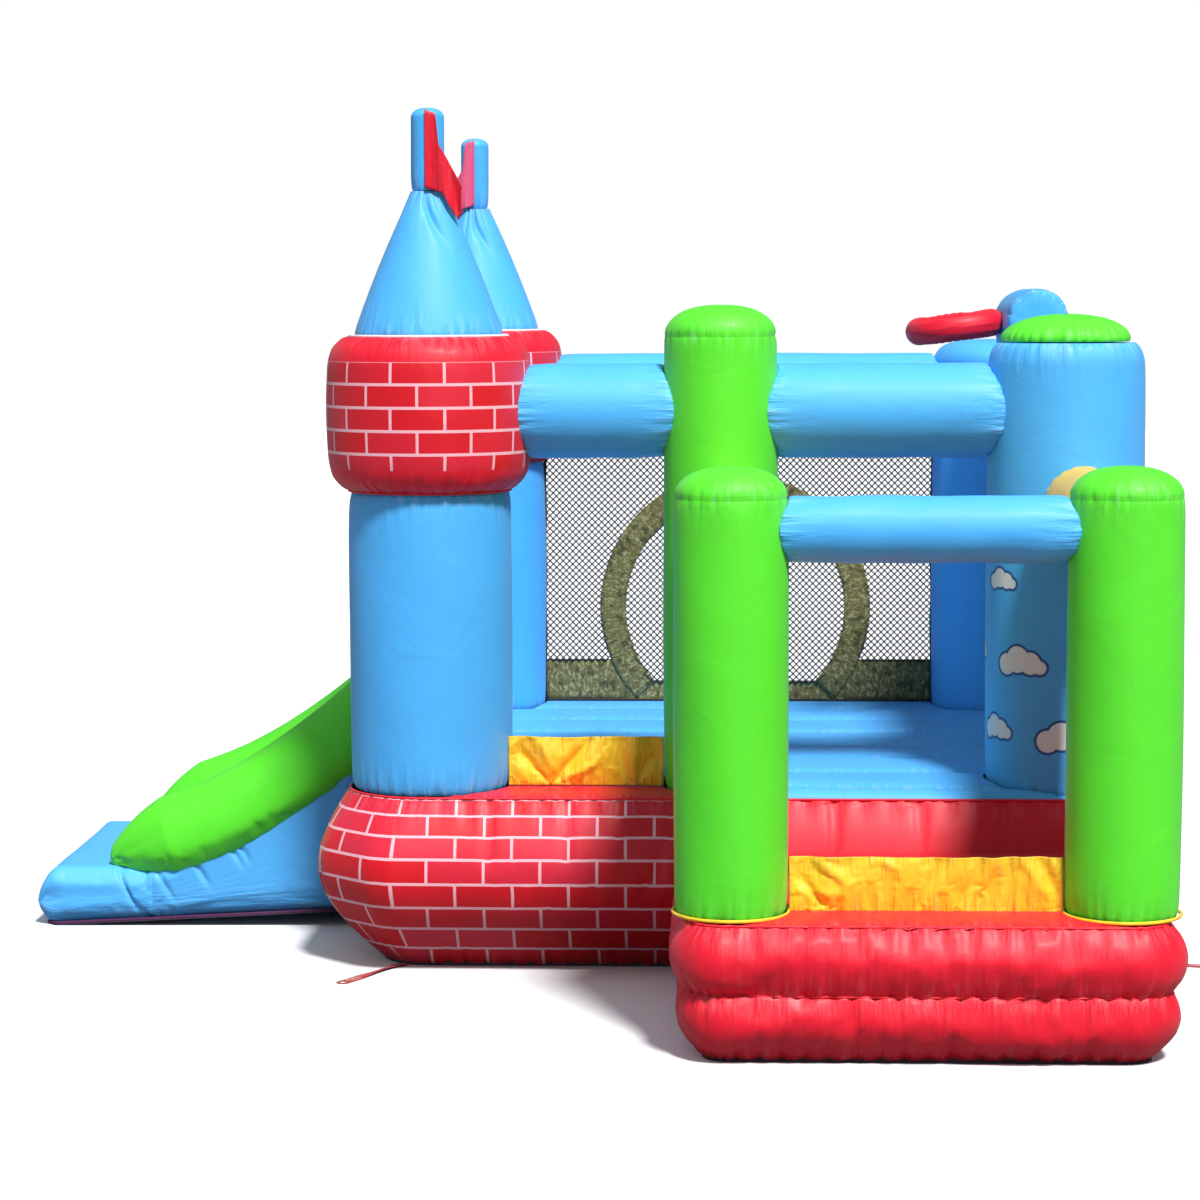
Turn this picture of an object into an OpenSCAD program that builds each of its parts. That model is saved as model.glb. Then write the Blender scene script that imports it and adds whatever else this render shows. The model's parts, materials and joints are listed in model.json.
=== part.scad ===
// Castle bounce house with a front porch, a side slide and its air blower.
// Frame: +Z up, +X towards the basketball side, +Y towards the blower (back). The origin is the
// centre of the main base's underside, on the ground. All lengths are in millimetres.

/* [Main chamber] */
// Distance between the left and right corner columns, axis to axis
bay_x = 1970; // [1800:10:2200]
// Distance between the front and back corner columns, axis to axis
bay_y = 1850; // [1700:10:2100]
// Height of the inflated base
base_h = 540; // [480:10:600]
// Radius of the two castle towers
tower_r = 255; // [240:1:270]
// Radius of the front right column
front_right_r = 243; // [235:1:255]
// Height of the wall rails' centre line above the ground
rail_z = 1718; // [1680:1:1760]
// Radius of the wall rails
rail_r = 148; // [135:1:155]

/* [Castle towers] */
// Largest radius of the brick crown
crown_r = 310; // [300:1:325]
// Height of the crown's lower seam
crown_low_z = 1475; // [1450:1:1500]
// Height of the crown's upper seam
crown_top_z = 1951; // [1940:1:1970]
// Height of the cone roof
cone_h = 447; // [400:1:480]
// Radius of the finial tube
finial_r = 52; // [48:1:56]
// Length of the finial tube
finial_h = 254; // [240:1:280]

/* [Porch] */
// Distance between the porch columns, axis to axis
porch_bay = 1067; // [1000:1:1120]
// Position of the porch columns in front of the chamber's centre
porch_y = 2175; // [2150:5:2250]
// Height of the porch base
porch_h = 380; // [350:5:400]
// Radius of the porch columns
porch_r = 158; // [150:1:165]
// Height of the porch columns' domed tops
porch_top_z = 1612; // [1600:1:1650]

/* [Slide] */
// Radius of the slide's long arc, seen from the side
slide_arc_r = 2075; // [2065:1:2085]
// Width of the slide and its landing pad
slide_w = 980; // [950:10:1010]
// Radius of the two side bolsters
bolster_r = 125; // [110:1:130]

/* [Fabric] */
// Thickness of a fabric skin
skin_t = 2; // [2:0.5:3]
// Gap left at a sewn seam between two skins
seam = 2; // [1.5:0.5:3]

/* [Blower] */
// Radius of the fan housing
fan_r = 150; // [145:1:155]
// Width of the fan housing along the shaft
fan_w = 176; // [170:1:182]

/* [Hidden] */

$fn = 64;
col_x = bay_x / 2;
col_y = bay_y / 2;
back_right_x = col_x - 35;   // the back right column stands a little further in
mid_pos = [-80, -col_y - 40];
mid_r = 177;
mid_top_z = 2045;
wall_x = col_x + tower_r;    // half width of the base along its top seam
wall_y = col_y + tower_r;
wall_inset = 105;            // how far the bottom seam lies inside the top seam
wall_bulge = 141;            // depth of the base wall's bulge
floor_z = base_h + 30;       // top of the crowned jump floor
sole_z = skin_t + seam;      // where the walls start, above the ground sheet
net_t = 3;
net_low = floor_z + 3;
net_top = rail_z - rail_r - seam;
porch_x = [-50, -50 + porch_bay];
porch_mid = (porch_x[0] + porch_x[1]) / 2;
porch_rail_z = 1440;
porch_rail_r = 93;
side_rail_r = 130;
side_rail_z = 1430;
threshold_h = 155;

// ---------- shared shapes ----------

function unit(v) = v / norm(v);
function reversed(list) = [for (i = [len(list) - 1:-1:0]) list[i]];
// A line of points curving from a to b, pushed sideways by depth at its middle.
function bowed(a, b, depth, n = 10) =
    [for (i = [0:n]) let (s = i / n) a + (b - a) * s + [depth * sin(180 * s), 0]];
// Points on an arc about c, from angle a0 to a1.
function arc(c, r, a0, a1, n = 10) =
    [for (i = [0:n]) let (a = a0 + (a1 - a0) * i / n) c + r * [cos(a), sin(a)]];
// The side of a path that faces the axis when the path runs upwards.
function inward(p, i) =
    let (d = unit(p[min(i + 1, len(p) - 1)] - p[max(i - 1, 0)])) [-d[1], d[0]];
function inner_path(p, t) =
    [for (i = [0:len(p) - 1]) let (q = p[i] + t * inward(p, i)) [max(q[0], 0), q[1]]];
// A closed outline that follows path p at thickness t.
function skin(p, t = skin_t) = concat(p, reversed(inner_path(p, t)));

module turned_skin(path) {
    rotate_extrude() polygon(skin(path));
}

module column_at(p, r, z0, z1) {
    translate([p[0], p[1], z0]) cylinder(r = r, h = z1 - z0);
}

// A tube along X or Y between two points, as a skin that is open at both ends.
module tube_x(x0, x1, y, z, r) {
    translate([x0, y, z]) rotate([0, 90, 0]) difference() {
        cylinder(r = r, h = x1 - x0);
        translate([0, 0, -1]) cylinder(r = r - skin_t, h = x1 - x0 + 2);
    }
}

module tube_y(y0, y1, x, z, r) {
    translate([x, y0, z]) rotate([-90, 0, 0]) difference() {
        cylinder(r = r, h = y1 - y0);
        translate([0, 0, -1]) cylinder(r = r - skin_t, h = y1 - y0 + 2);
    }
}

// A rounded rectangle, hx by hy half sizes.
module pad_outline(hx, hy, r) {
    union() {
        square([2 * (hx - r), 2 * hy], center = true);
        square([2 * hx, 2 * (hy - r)], center = true);
        for (sx = [-1, 1], sy = [-1, 1]) translate([sx * (hx - r), sy * (hy - r)]) circle(r);
    }
}

// A closed ring of wall round a rounded rectangle. wall holds [offset, height] points.
module ring_wall(wall, hx, hy, r) {
    at = function (d) skin([for (p = wall) [p[0] + d, p[1]]]);
    for (a = [0, 180]) {
        rotate(a) rotate([90, 0, 0]) linear_extrude(2 * (hy - r), center = true) polygon(at(hx));
        rotate(a + 90) rotate([90, 0, 0]) linear_extrude(2 * (hx - r), center = true) polygon(at(hy));
    }
    for (sx = [-1, 1], sy = [-1, 1]) translate([sx * (hx - r), sy * (hy - r), 0])
        rotate(sx > 0 ? (sy > 0 ? 0 : -90) : (sy > 0 ? 90 : 180))
            rotate_extrude(angle = 90) polygon(at(r));
}

// The same wall filled solid and grown by grow, for cutting what meets it.
module ring_solid(wall, hx, hy, r, grow) {
    side = function (d) [for (p = wall) [p[0] + d + grow, p[1]]];
    block = function (d) concat(side(d), reversed([for (p = side(d)) [-p[0], p[1]]]));
    rotate([90, 0, 0]) linear_extrude(2 * (hy - r), center = true) polygon(block(hx));
    rotate(90) rotate([90, 0, 0]) linear_extrude(2 * (hx - r), center = true) polygon(block(hy));
    for (sx = [-1, 1], sy = [-1, 1]) translate([sx * (hx - r), sy * (hy - r), 0])
        rotate_extrude() polygon(concat([[0, wall[0][1]]], side(r), [[0, wall[len(wall) - 1][1]]]));
}

// ---------- main base ----------

main_wall = bowed([-wall_inset, sole_z], [0, base_h], wall_bulge);

// Everything a floor panel is sewn around.
module column_feet(grow) {
    translate([-col_x, -col_y]) circle(tower_r + grow);
    translate([-col_x, col_y]) circle(tower_r + grow);
    translate([col_x, -col_y]) circle(front_right_r + grow);
    translate([back_right_x, col_y]) circle(tower_r + grow);
    translate(mid_pos) circle(mid_r + grow);
}

module ground_sheet() {
    color("dimgray") linear_extrude(skin_t) {
        pad_outline(wall_x - wall_inset, wall_y - wall_inset, tower_r - wall_inset);
        translate([porch_mid, porch_cy]) pad_outline(porch_hx - 60, porch_hy - 60, porch_corner - 60);
        translate([slide_end_x + 60, -slide_w / 2]) square([-slide_end_x - 1200, slide_w]);
    }
}

sleeve_x = 480;
sleeve_z = 165;
sleeve_r = 79;

module base_wall() {
    color("crimson") difference() {
        ring_wall(main_wall, wall_x, wall_y, tower_r);
        translate([sleeve_x, wall_y - 200, sleeve_z]) rotate([-90, 0, 0])
            cylinder(r = sleeve_r + seam, h = 400);
    }
}

// The floor panel's outline, drawn in by g.
module floor_outline(g) {
    difference() {
        pad_outline(wall_x - g, wall_y - g, tower_r - g);
        column_feet(seam + g);
    }
}

module jump_floor() {
    color("dodgerblue") difference() {
        translate([0, 0, base_h + seam]) linear_extrude(floor_z - base_h - seam) floor_outline(0);
        linear_extrude(floor_z - skin_t) floor_outline(skin_t);
    }
}

baffle_count = 6;
baffle_w = 2 * (wall_x - tower_r);
baffle_hole_r = 60;

// Upright webs that tie the floor down; their holes let the air pass.
module floor_baffles() {
    pitch = bay_y / baffle_count;
    color("lightgray") for (i = [0:baffle_count - 1])
        translate([0, (i - (baffle_count - 1) / 2) * pitch, sole_z]) rotate([90, 0, 0])
            linear_extrude(skin_t, center = true) difference() {
                translate([-baffle_w / 2, 0]) square([baffle_w, base_h - sole_z]);
                for (x = [-3:3]) translate([x * baffle_w / 7, base_h / 2]) circle(baffle_hole_r);
            }
}

// ---------- castle towers ----------

cone_top_z = crown_top_z + cone_h;
cone_low_r = 235;
crown_seam_r = 247;

module tower_column() {
    color("deepskyblue") turned_skin([[tower_r, base_h + seam], [tower_r, crown_low_z - seam]]);
}

module tower_crown() {
    low = crown_low_z + 130;
    high = crown_top_z - 115;
    color("crimson") turned_skin(concat(
        [for (i = [0:5]) let (a = i * 18)
            [crown_seam_r + (crown_r - crown_seam_r) * sin(a), low - (low - crown_low_z) * cos(a)]],
        [for (i = [0:5]) let (a = i * 18)
            [crown_seam_r + (crown_r - crown_seam_r) * cos(a), high + (crown_top_z - high) * sin(a)]]));
}

module tower_cone() {
    color("skyblue") turned_skin([[cone_low_r, crown_top_z + seam], [finial_r + 2, cone_top_z - seam]]);
}

module tower_finial() {
    top = cone_top_z + finial_h;
    color("deepskyblue") turned_skin(concat(
        [[finial_r, cone_top_z]],
        [for (i = [0:6]) let (a = i * 15) [finial_r * cos(a), top - 30 + 30 * sin(a)]]));
}

// A drooping pennant in its own frame: the hoist lies along Z at x = 0 and the fly hangs towards +X.
flag_hoist = 240;
flag_fly = 112;
flag_t = 2;
flag_hem_r = 2.5;   // the rolled hem that the flag swings on
flag_gap = 5;   // from the finial to the hem

module flag() {
    low = cone_top_z + 6;
    color("red") translate([0, 0, low]) {
        cylinder(r = flag_hem_r, h = flag_hoist);
        rotate([90, 0, 0]) linear_extrude(flag_t, center = true) polygon([
            [0, 0], [flag_fly / 2, -18], [flag_fly - 14, -95], [flag_fly, -80], [flag_fly, 15],
            [flag_fly / 3, flag_hoist / 2], [10, 0.8 * flag_hoist], [0, flag_hoist]]);
    }
}

module front_flag() {
    translate([-col_x, -col_y - finial_r - flag_gap, 0]) flag();
}

module back_flag() {
    translate([-col_x, col_y - finial_r - flag_gap, 0]) mirror([1, 0, 0]) flag();
}

// ---------- plain columns ----------

dome_seam_z = 1930;
cap_r = 208;
dome_top_z = 2014;

module middle_column() {
    color("limegreen") translate([mid_pos[0], mid_pos[1], 0]) turned_skin(concat(
        [[mid_r, base_h + seam]],
        [for (i = [0:6]) let (a = i * 15) [mid_r * cos(a), mid_top_z - 95 + 95 * sin(a)]]));
}

// The column's shoulder rounds in to the seam of its cap.
module front_right_column() {
    shoulder_h = 70;
    color("deepskyblue") translate([col_x, -col_y, 0]) turned_skin(concat(
        [[front_right_r, base_h + seam]],
        [for (i = [0:5]) let (a = i * 15, in_r = front_right_r - cap_r)
            [cap_r + in_r * cos(a), dome_seam_z - seam - shoulder_h * (1 - sin(a))]]));
}

module front_right_cap() {
    color("limegreen") translate([col_x, -col_y, 0]) turned_skin([for (i = [0:8]) let (a = i * 90 / 8)
        [cap_r * cos(a), dome_seam_z + (dome_top_z - dome_seam_z) * sin(a)]]);
}

module back_right_column() {
    color("royalblue") translate([back_right_x, col_y, 0]) turned_skin(concat(
        [[tower_r, base_h + seam]],
        [for (i = [0:6]) let (a = i * 15) [tower_r - 60 + 60 * cos(a), 1850 + 60 * sin(a)]],
        [[0, 1915]]));
}

// ---------- wall rails and nets ----------

// Cuts a rail or net back to the columns that it is sewn to.
module cut_at_columns() {
    difference() {
        children();
        for (y = [-col_y, col_y]) {
            column_at([-col_x, y], tower_r + seam, base_h, crown_low_z);
            column_at([-col_x, y], crown_r + seam, crown_low_z, crown_top_z);
        }
        column_at([col_x, -col_y], front_right_r + seam, base_h, dome_top_z);
        column_at([back_right_x, col_y], tower_r + seam, base_h, dome_top_z);
        column_at(mid_pos, mid_r + seam, base_h, mid_top_z);
    }
}

module front_left_rail() {
    color("skyblue") cut_at_columns() tube_x(-col_x + crown_r / 2, mid_pos[0], -col_y, rail_z, rail_r);
}

module front_right_rail() {
    color("skyblue") cut_at_columns() tube_x(mid_pos[0], col_x - 100, -col_y, rail_z, rail_r);
}

module back_rail() {
    color("skyblue") cut_at_columns()
        tube_x(-col_x + crown_r / 2, back_right_x - 100, col_y, rail_z, rail_r);
}

module left_rail() {
    color("skyblue") cut_at_columns() tube_y(-col_y + 100, col_y - 100, -col_x, rail_z, rail_r);
}

right_rail_x = (col_x + back_right_x) / 2;

module right_rail() {
    color("skyblue") cut_at_columns() tube_y(-col_y + 100, col_y - 100, right_rail_x, rail_z, rail_r);
}

module back_mesh() {
    color("gainsboro") cut_at_columns()
        translate([-col_x, col_y - net_t / 2, net_low]) cube([2 * col_x, net_t, net_top - net_low]);
}

gate_r = 500;       // outer radius of the round gate sewn on the back net
gate_band = 96;
gate_z = 925;
strip_h = 158;

// Sewn bands on the outside of the back net: a round gate and a strip along the floor.
module back_mesh_bands() {
    color("darkkhaki") translate([-29, col_y + net_t / 2 + 1, 0]) rotate([-90, 0, 0])
        linear_extrude(skin_t) mirror([0, 1]) difference() {
            union() {
                translate([0, gate_z]) circle(gate_r);
                translate([-660, net_low]) square([1320, strip_h]);
            }
            intersection() {
                translate([0, gate_z]) circle(gate_r - gate_band);
                translate([-gate_r, net_low + strip_h / 2]) square([2 * gate_r, 2 * gate_r]);
            }
            translate([-gate_r, 0]) square([2 * gate_r, net_low]);
        }
}

module right_mesh() {
    color("gainsboro") cut_at_columns()
        translate([right_rail_x, -col_y, net_low]) cube([net_t, 2 * col_y, net_top - net_low]);
}

doorway_half = 330;  // half width of the doorway to the slide

module doorway_meshes() {
    color("gainsboro") cut_at_columns() for (s = [0, 1]) mirror([0, s, 0])
        translate([-col_x, doorway_half + 60, net_low]) cube([net_t, 400, net_top - net_low]);
}

module entry_threshold() {
    color("gold") cut_at_columns()
        translate([-col_x, -col_y - 75, floor_z + 3]) cube([mid_pos[0] + col_x, 8, threshold_h - 20]);
}

// ---------- basketball hoop ----------

board_x = 860;
board_t = 210;
board_half = 270;
board_top = 2094;
hoop_r = 125;
hoop_tube_r = 46;
hoop_tilt = 7;
hoop_z = 1966;

// An inflated board that stands on the right rail.
module hoop_backboard() {
    body = function (g) concat(
        [[board_x + g, rail_z]],
        reversed(arc([board_x + board_t / 2, board_top - board_t / 2], board_t / 2 - g, 0, 180, 12)),
        [[board_x + board_t - g, rail_z]]);
    color("skyblue") difference() {
        rotate([90, 0, 0]) linear_extrude(2 * board_half, center = true) polygon(body(0));
        rotate([90, 0, 0]) linear_extrude(2 * (board_half - skin_t), center = true)
            polygon(body(skin_t));
        translate([right_rail_x, 0, rail_z]) rotate([90, 0, 0])
            cylinder(r = rail_r + seam, h = 2 * board_half + 10, center = true);
        translate([board_x - 1, -board_half - 1, rail_z - 1]) cube([board_t + 2, 2 * board_half + 2, 60]);
    }
}

module hoop_ring() {
    color("red") difference() {
        translate([board_x - hoop_r - 22, 0, hoop_z]) rotate([0, -hoop_tilt, 0]) difference() {
            rotate_extrude() translate([hoop_r, 0]) circle(hoop_tube_r);
            rotate_extrude() translate([hoop_r, 0]) circle(hoop_tube_r - skin_t);
        }
        translate([board_x - seam, -300, hoop_z - 200]) cube([400, 600, 400]);
    }
}

// ---------- porch ----------

porch_hx = 670;
porch_front = 2360;
porch_back = 1080;  // inside the main base's wall
porch_hy = (porch_front - porch_back) / 2;
porch_cy = -(porch_front + porch_back) / 2;
porch_corner = 125;
porch_wall = concat(
    bowed([-60, sole_z], [0, porch_h / 2 - 5], 42, 8),
    bowed([0, porch_h / 2 + 5], [-10, porch_h], 36, 8));

module porch_base() {
    color("crimson") difference() {
        translate([porch_mid, porch_cy, 0]) ring_wall(porch_wall, porch_hx, porch_hy, porch_corner);
        ring_solid(main_wall, wall_x, wall_y, tower_r, seam);
        translate([porch_mid - 900, -porch_back - 5, 0]) cube([1800, 200, porch_h + 10]);
    }
}

module porch_floor() {
    color("red") translate([0, 0, porch_h + seam]) linear_extrude(skin_t) difference() {
        translate([porch_mid, -(porch_front + wall_y) / 2 - 8])
            pad_outline(porch_hx - 25, (porch_front - wall_y) / 2 - 50, 60);
        for (x = porch_x) translate([x, -porch_y]) circle(porch_r + seam);
        pad_outline(wall_x + wall_bulge, wall_y + wall_bulge - 40, tower_r + wall_bulge);
    }
}

module porch_column(x) {
    color("limegreen") translate([x, -porch_y, 0]) turned_skin(concat(
        [[porch_r, porch_h + seam], [porch_r, 1400]],
        [for (i = [0:8]) let (a = i * 90 / 8)
            [porch_r * cos(a), porch_top_z - 85 + 85 * sin(a)]]));
}

module porch_left_column() {
    porch_column(porch_x[0]);
}

module porch_right_column() {
    porch_column(porch_x[1]);
}

module cut_at_porch_columns() {
    difference() {
        children();
        for (x = porch_x) column_at([x, -porch_y], porch_r + seam, porch_h, porch_top_z);
    }
}

module porch_front_rail() {
    color("skyblue") cut_at_porch_columns()
        tube_x(porch_x[0], porch_x[1], -porch_y, porch_rail_z, porch_rail_r);
}

module porch_side_rails() {
    color("gold") cut_at_columns() cut_at_porch_columns() {
        tube_y(-porch_y, -col_y - 60, porch_x[0], side_rail_z, side_rail_r);
        tube_y(-porch_y, -col_y - 60, porch_x[1], side_rail_z, side_rail_r);
    }
}

// The side nets hang from the yellow rails and stop short of the main base's wall.
module porch_side_meshes() {
    low = porch_h + 10;
    top = side_rail_z - side_rail_r - seam;
    color("gainsboro") cut_at_porch_columns() for (x = porch_x)
        translate([x - net_t / 2, -porch_y, low]) cube([net_t, porch_y - wall_y - 100, top - low]);
}

module porch_threshold() {
    color("gold") cut_at_porch_columns()
        translate([porch_x[0], -porch_y - 4, porch_h + 8]) cube([porch_bay, 8, threshold_h]);
}

// ---------- slide ----------

slide_c = [-2612, 2166];    // centre of the slide's arc, in x and z
slide_end_x = -2345;
pad_edge_r = 92;            // half the landing pad's height at its end
ramp_low_a = 17.8;          // slope of the arc at its foot, in degrees
ramp_top_a = 39.6;
function on_ramp(a, lift = 0) = slide_c + (slide_arc_r - lift) * [sin(a), -cos(a)];
bolster_y = slide_w / 2 - bolster_r + 25;
lane_half = bolster_y - bolster_r - 6;
foot_x = on_ramp(ramp_low_a)[0];
foot_z = on_ramp(ramp_low_a)[1];
join_a = ramp_low_a + 0.6;
pad_join = on_ramp(join_a)[0];  // where the landing pad is sewn to the ramp
ramp_end_x = -1150;         // inside the base's wall, which the ramp is cut back to

// The ramp's side outline, drawn in by g on every side but the one that opens into the base.
function ramp_outline(g) = concat(
    [[pad_join + g, sole_z + g], [ramp_end_x, sole_z + g], [ramp_end_x, base_h - g]],
    reversed([for (i = [0:8]) let (a = join_a + (ramp_top_a - join_a) * i / 8) on_ramp(a, -g)]),
    [[pad_join + g, on_ramp(join_a, -g)[1]]]);

module ramp_block(g) {
    rotate([90, 0, 0]) linear_extrude(slide_w - 2 * g, center = true) polygon(ramp_outline(g));
}

// All the room that the main base takes up, with a seam's gap.
module base_room() {
    ring_solid(main_wall, wall_x, wall_y, tower_r, seam);
    translate([-wall_x - seam, -wall_y / 2, -1]) cube([wall_inset, wall_y, floor_z + seam + 1]);
}

module slide_ramp() {
    color("dodgerblue") difference() {
        ramp_block(0);
        ramp_block(skin_t);
        base_room();
        for (s = [-1, 1]) bolster_form(s * bolster_y, -seam);
    }
}

// The landing pad's side outline, drawn in by g; its last edge lies at end_x.
function pad_side(g, end_x) = concat(
    reversed(arc([slide_end_x + pad_edge_r, pad_edge_r + sole_z], pad_edge_r - g, 90, 270, 8)),
    [[foot_x, foot_z - g], [end_x, on_ramp(join_a)[1] - g], [end_x, sole_z + g]]);

module landing_pad() {
    color("dodgerblue") difference() {
        rotate([90, 0, 0]) linear_extrude(slide_w, center = true)
            polygon(pad_side(0, pad_join - seam));
        rotate([90, 0, 0]) linear_extrude(slide_w - 2 * skin_t, center = true)
            polygon(pad_side(skin_t, pad_join + seam));
    }
}

// The slippery sheet between the bolsters.
module slide_lane() {
    low_a = join_a + 0.2;
    angles = [for (i = [0:8]) low_a + (ramp_top_a - low_a) * i / 8];
    color("deepskyblue") rotate([90, 0, 0]) linear_extrude(2 * lane_half, center = true) polygon(concat(
        [for (a = angles) on_ramp(a, seam)],
        [for (a = reversed(angles)) on_ramp(a, seam + skin_t)]));
}

bolster_sink = 50;      // how deep a bolster is let into the ramp's edge
bolster_low_a = 20.9;
bolster_top_a = 42.5;
nose_l = 120;
nose_r = [88, 30];      // radii of the nose where its two panels end
nose_tip_l = 75;

// A bolster's filled form drawn in by g: a curved tube with a blunt tapered nose.
module bolster_form(y, g, extra_a = 0) {
    ride = slide_arc_r - bolster_r + bolster_sink;
    translate([slide_c[0], y, slide_c[1]]) rotate([90, 0, 0]) rotate(bolster_low_a - 90) {
        rotate_extrude(angle = bolster_top_a - bolster_low_a + extra_a)
            translate([ride, 0]) circle(bolster_r - g);
        translate([ride, 0, 0]) rotate([90, 0, 0]) {
            cylinder(r1 = bolster_r - g, r2 = nose_r[0] - g, h = nose_l);
            translate([0, 0, nose_l]) cylinder(r1 = nose_r[0] - g, r2 = nose_r[1] - g, h = nose_tip_l - g);
        }
    }
}

// The room that the landing pad takes up, with a seam's gap and grown by g.
module pad_room(g) {
    rotate([90, 0, 0]) linear_extrude(2 * slide_w, center = true)
        polygon(pad_side(-seam - g, pad_join + g));
}

// The bolster's skin, open at the top where air comes in, and flat where it meets the pad and the base.
module bolster(y) {
    color("limegreen") difference() {
        bolster_form(y, 0);
        difference() {
            bolster_form(y, skin_t, 3);
            pad_room(skin_t);
        }
        base_room();
        pad_room(0);
    }
}

module front_bolster() {
    bolster(-bolster_y);
}

module back_bolster() {
    bolster(bolster_y);
}

// ---------- anchor straps ----------

strap_l = 340;
strap_w = 40;
strap_t = 3;
strap_eye_r = 12;
strap_root = 158;   // from the corner's centre to the sewn end

// A webbing strap that lies on the ground with a stake eye at its end. a is its direction.
module anchor_strap(corner, a) {
    color("firebrick") translate([corner[0], corner[1], 0]) rotate(a) difference() {
        union() {
            translate([strap_root, -strap_w / 2, 0]) cube([strap_l - strap_w / 2, strap_w, strap_t]);
            translate([strap_root + strap_l - strap_w / 2, 0, 0]) cylinder(r = strap_w / 2, h = strap_t);
            translate([strap_root, 0, strap_t / 2]) rotate([90, 0, 0])
                cylinder(r = strap_t / 2, h = strap_w, center = true);
        }
        translate([strap_root + strap_l - strap_w / 2, 0, -1]) cylinder(r = strap_eye_r, h = strap_t + 2);
    }
}

module anchor_strap_front_left() {
    anchor_strap([-col_x, -col_y], 240);
}

module anchor_strap_back_left() {
    anchor_strap([-col_x, col_y], 135);
}

module anchor_strap_back_right() {
    anchor_strap([col_x, col_y], 45);
}

module anchor_strap_front_right() {
    anchor_strap([col_x, -col_y], -15);
}

// ---------- deflation zip ----------

zip_l = 420;
zip_x = -800;       // left end of the zip, on the back wall
zip_z = 300;
zip_y = wall_y + 97;

module deflate_zip_tape() {
    color("dimgray") {
        translate([zip_x, zip_y, zip_z - 17]) cube([zip_l, 2, 34]);
        for (i = [0:2:zip_l - 12]) if (i % 6 == 0)
            translate([zip_x + 6 + i, zip_y + 2, zip_z - 3]) cube([3, 2, 6]);
    }
}

pin_x = zip_x + 17;
pin_y = zip_y + 11;
pin_r = 1.5;
lug = 8;

module deflate_zip_slider() {
    color("silver") difference() {
        union() {
            translate([zip_x + 8, zip_y + 4.5, zip_z - 8]) cube([18, 3.5, 16]);
            translate([pin_x - lug / 2, zip_y + 7.5, zip_z - lug / 2]) cube([lug, 6.5, lug]);
        }
        translate([pin_x, pin_y, zip_z - lug]) cylinder(r = pin_r + 0.05, h = 2 * lug);
    }
}

// The pull's fork holds a pin through the slider's lug, so the pull swings out from the wall.
module deflate_zip_pull() {
    arm_z = lug / 2 + 1;
    color("silver") translate([pin_x, pin_y, zip_z]) {
        cylinder(r = pin_r, h = 2 * arm_z + 6, center = true);
        for (s = [0, 1]) mirror([0, 0, s]) {
            translate([0, 0, arm_z]) cylinder(r = 2.6, h = 4);
            translate([0, -1, arm_z]) cube([14, 2, 4]);
        }
        difference() {
            translate([12, -1, -arm_z - 4]) cube([32, 2, 2 * arm_z + 8]);
            translate([35, -2, 0]) rotate([-90, 0, 0]) cylinder(r = 5, h = 4);
        }
    }
}

// ---------- air sleeve and blower ----------

fan_x = sleeve_x;
fan_y = 1985;       // the shaft's place behind the house
fan_z = 215;
shell_t = 4;
nozzle_r = 74;
nozzle_y = 1715;    // where the nozzle's round mouth starts
shaft_r = 6;

module inlet_sleeve() {
    color("crimson") tube_y(wall_y + 20, nozzle_y + 60, sleeve_x, sleeve_z, sleeve_r);
}

// The cinch strap that ties the sleeve to the nozzle, with its buckle.
module sleeve_strap() {
    color("black") {
        translate([sleeve_x, nozzle_y + 18, sleeve_z]) rotate([-90, 0, 0]) difference() {
            cylinder(r = sleeve_r + 4, h = 25);
            translate([0, 0, -1]) cylinder(r = sleeve_r + 1, h = 27);
        }
        translate([sleeve_x - 20, nozzle_y + 14, sleeve_z + sleeve_r + 4]) cube([40, 33, 9]);
    }
}

// The fan's scroll, filled, drawn in by g all round.
module scroll(g) {
    translate([fan_x, fan_y, fan_z]) rotate([0, 90, 0])
        cylinder(r = fan_r - g, h = fan_w - 2 * g, center = true);
    translate([fan_x - fan_w / 2 + g, nozzle_y + 90 + g, fan_z - fan_r + g])
        cube([fan_w - 2 * g, fan_y - nozzle_y - 90 - g, fan_r + 20 - 2 * g]);
}

boss_angles = [-50, 20, 90, 150];
boss_r = 8;

module bosses(r, extra) {
    for (a = boss_angles) translate([fan_x, fan_y + (fan_r + 5) * cos(a), fan_z + (fan_r + 5) * sin(a)])
        rotate([0, 90, 0]) cylinder(r = r, h = 44 + extra, center = true);
}

// The whole fan casing before it is split at the middle of the shaft.
module casing() {
    difference() {
        union() {
            scroll(0);
            bosses(boss_r, 0);
            translate([sleeve_x, nozzle_y, sleeve_z]) rotate([-90, 0, 0])
                cylinder(r = nozzle_r, h = 95);
            for (y = [fan_y - 110, fan_y + 60])
                translate([fan_x - fan_w / 2, y, 0]) cube([fan_w, 50, fan_z - 40]);
        }
        scroll(shell_t);
        translate([sleeve_x, nozzle_y - 1, sleeve_z]) rotate([-90, 0, 0])
            cylinder(r = nozzle_r - shell_t, h = 110);
    }
}

inlet_r = 72;
motor_r = 52;

module blower_inlet_shell() {
    color("gold") difference() {
        casing();
        bosses(2.2, 4);
        translate([fan_x, nozzle_y - 10, -1]) cube([400, 600, 500]);
        translate([fan_x - fan_w, fan_y, fan_z]) rotate([0, 90, 0]) cylinder(r = inlet_r, h = fan_w);
    }
}

module blower_motor_shell() {
    color("gold") difference() {
        casing();
        bosses(2.2, 4);
        translate([fan_x - 400 + 0.4, nozzle_y - 10, -1]) cube([400, 600, 500]);
        translate([fan_x, fan_y, fan_z]) rotate([0, 90, 0]) cylinder(r = motor_r + 1, h = fan_w);
        switch_hole();
    }
}

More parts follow.
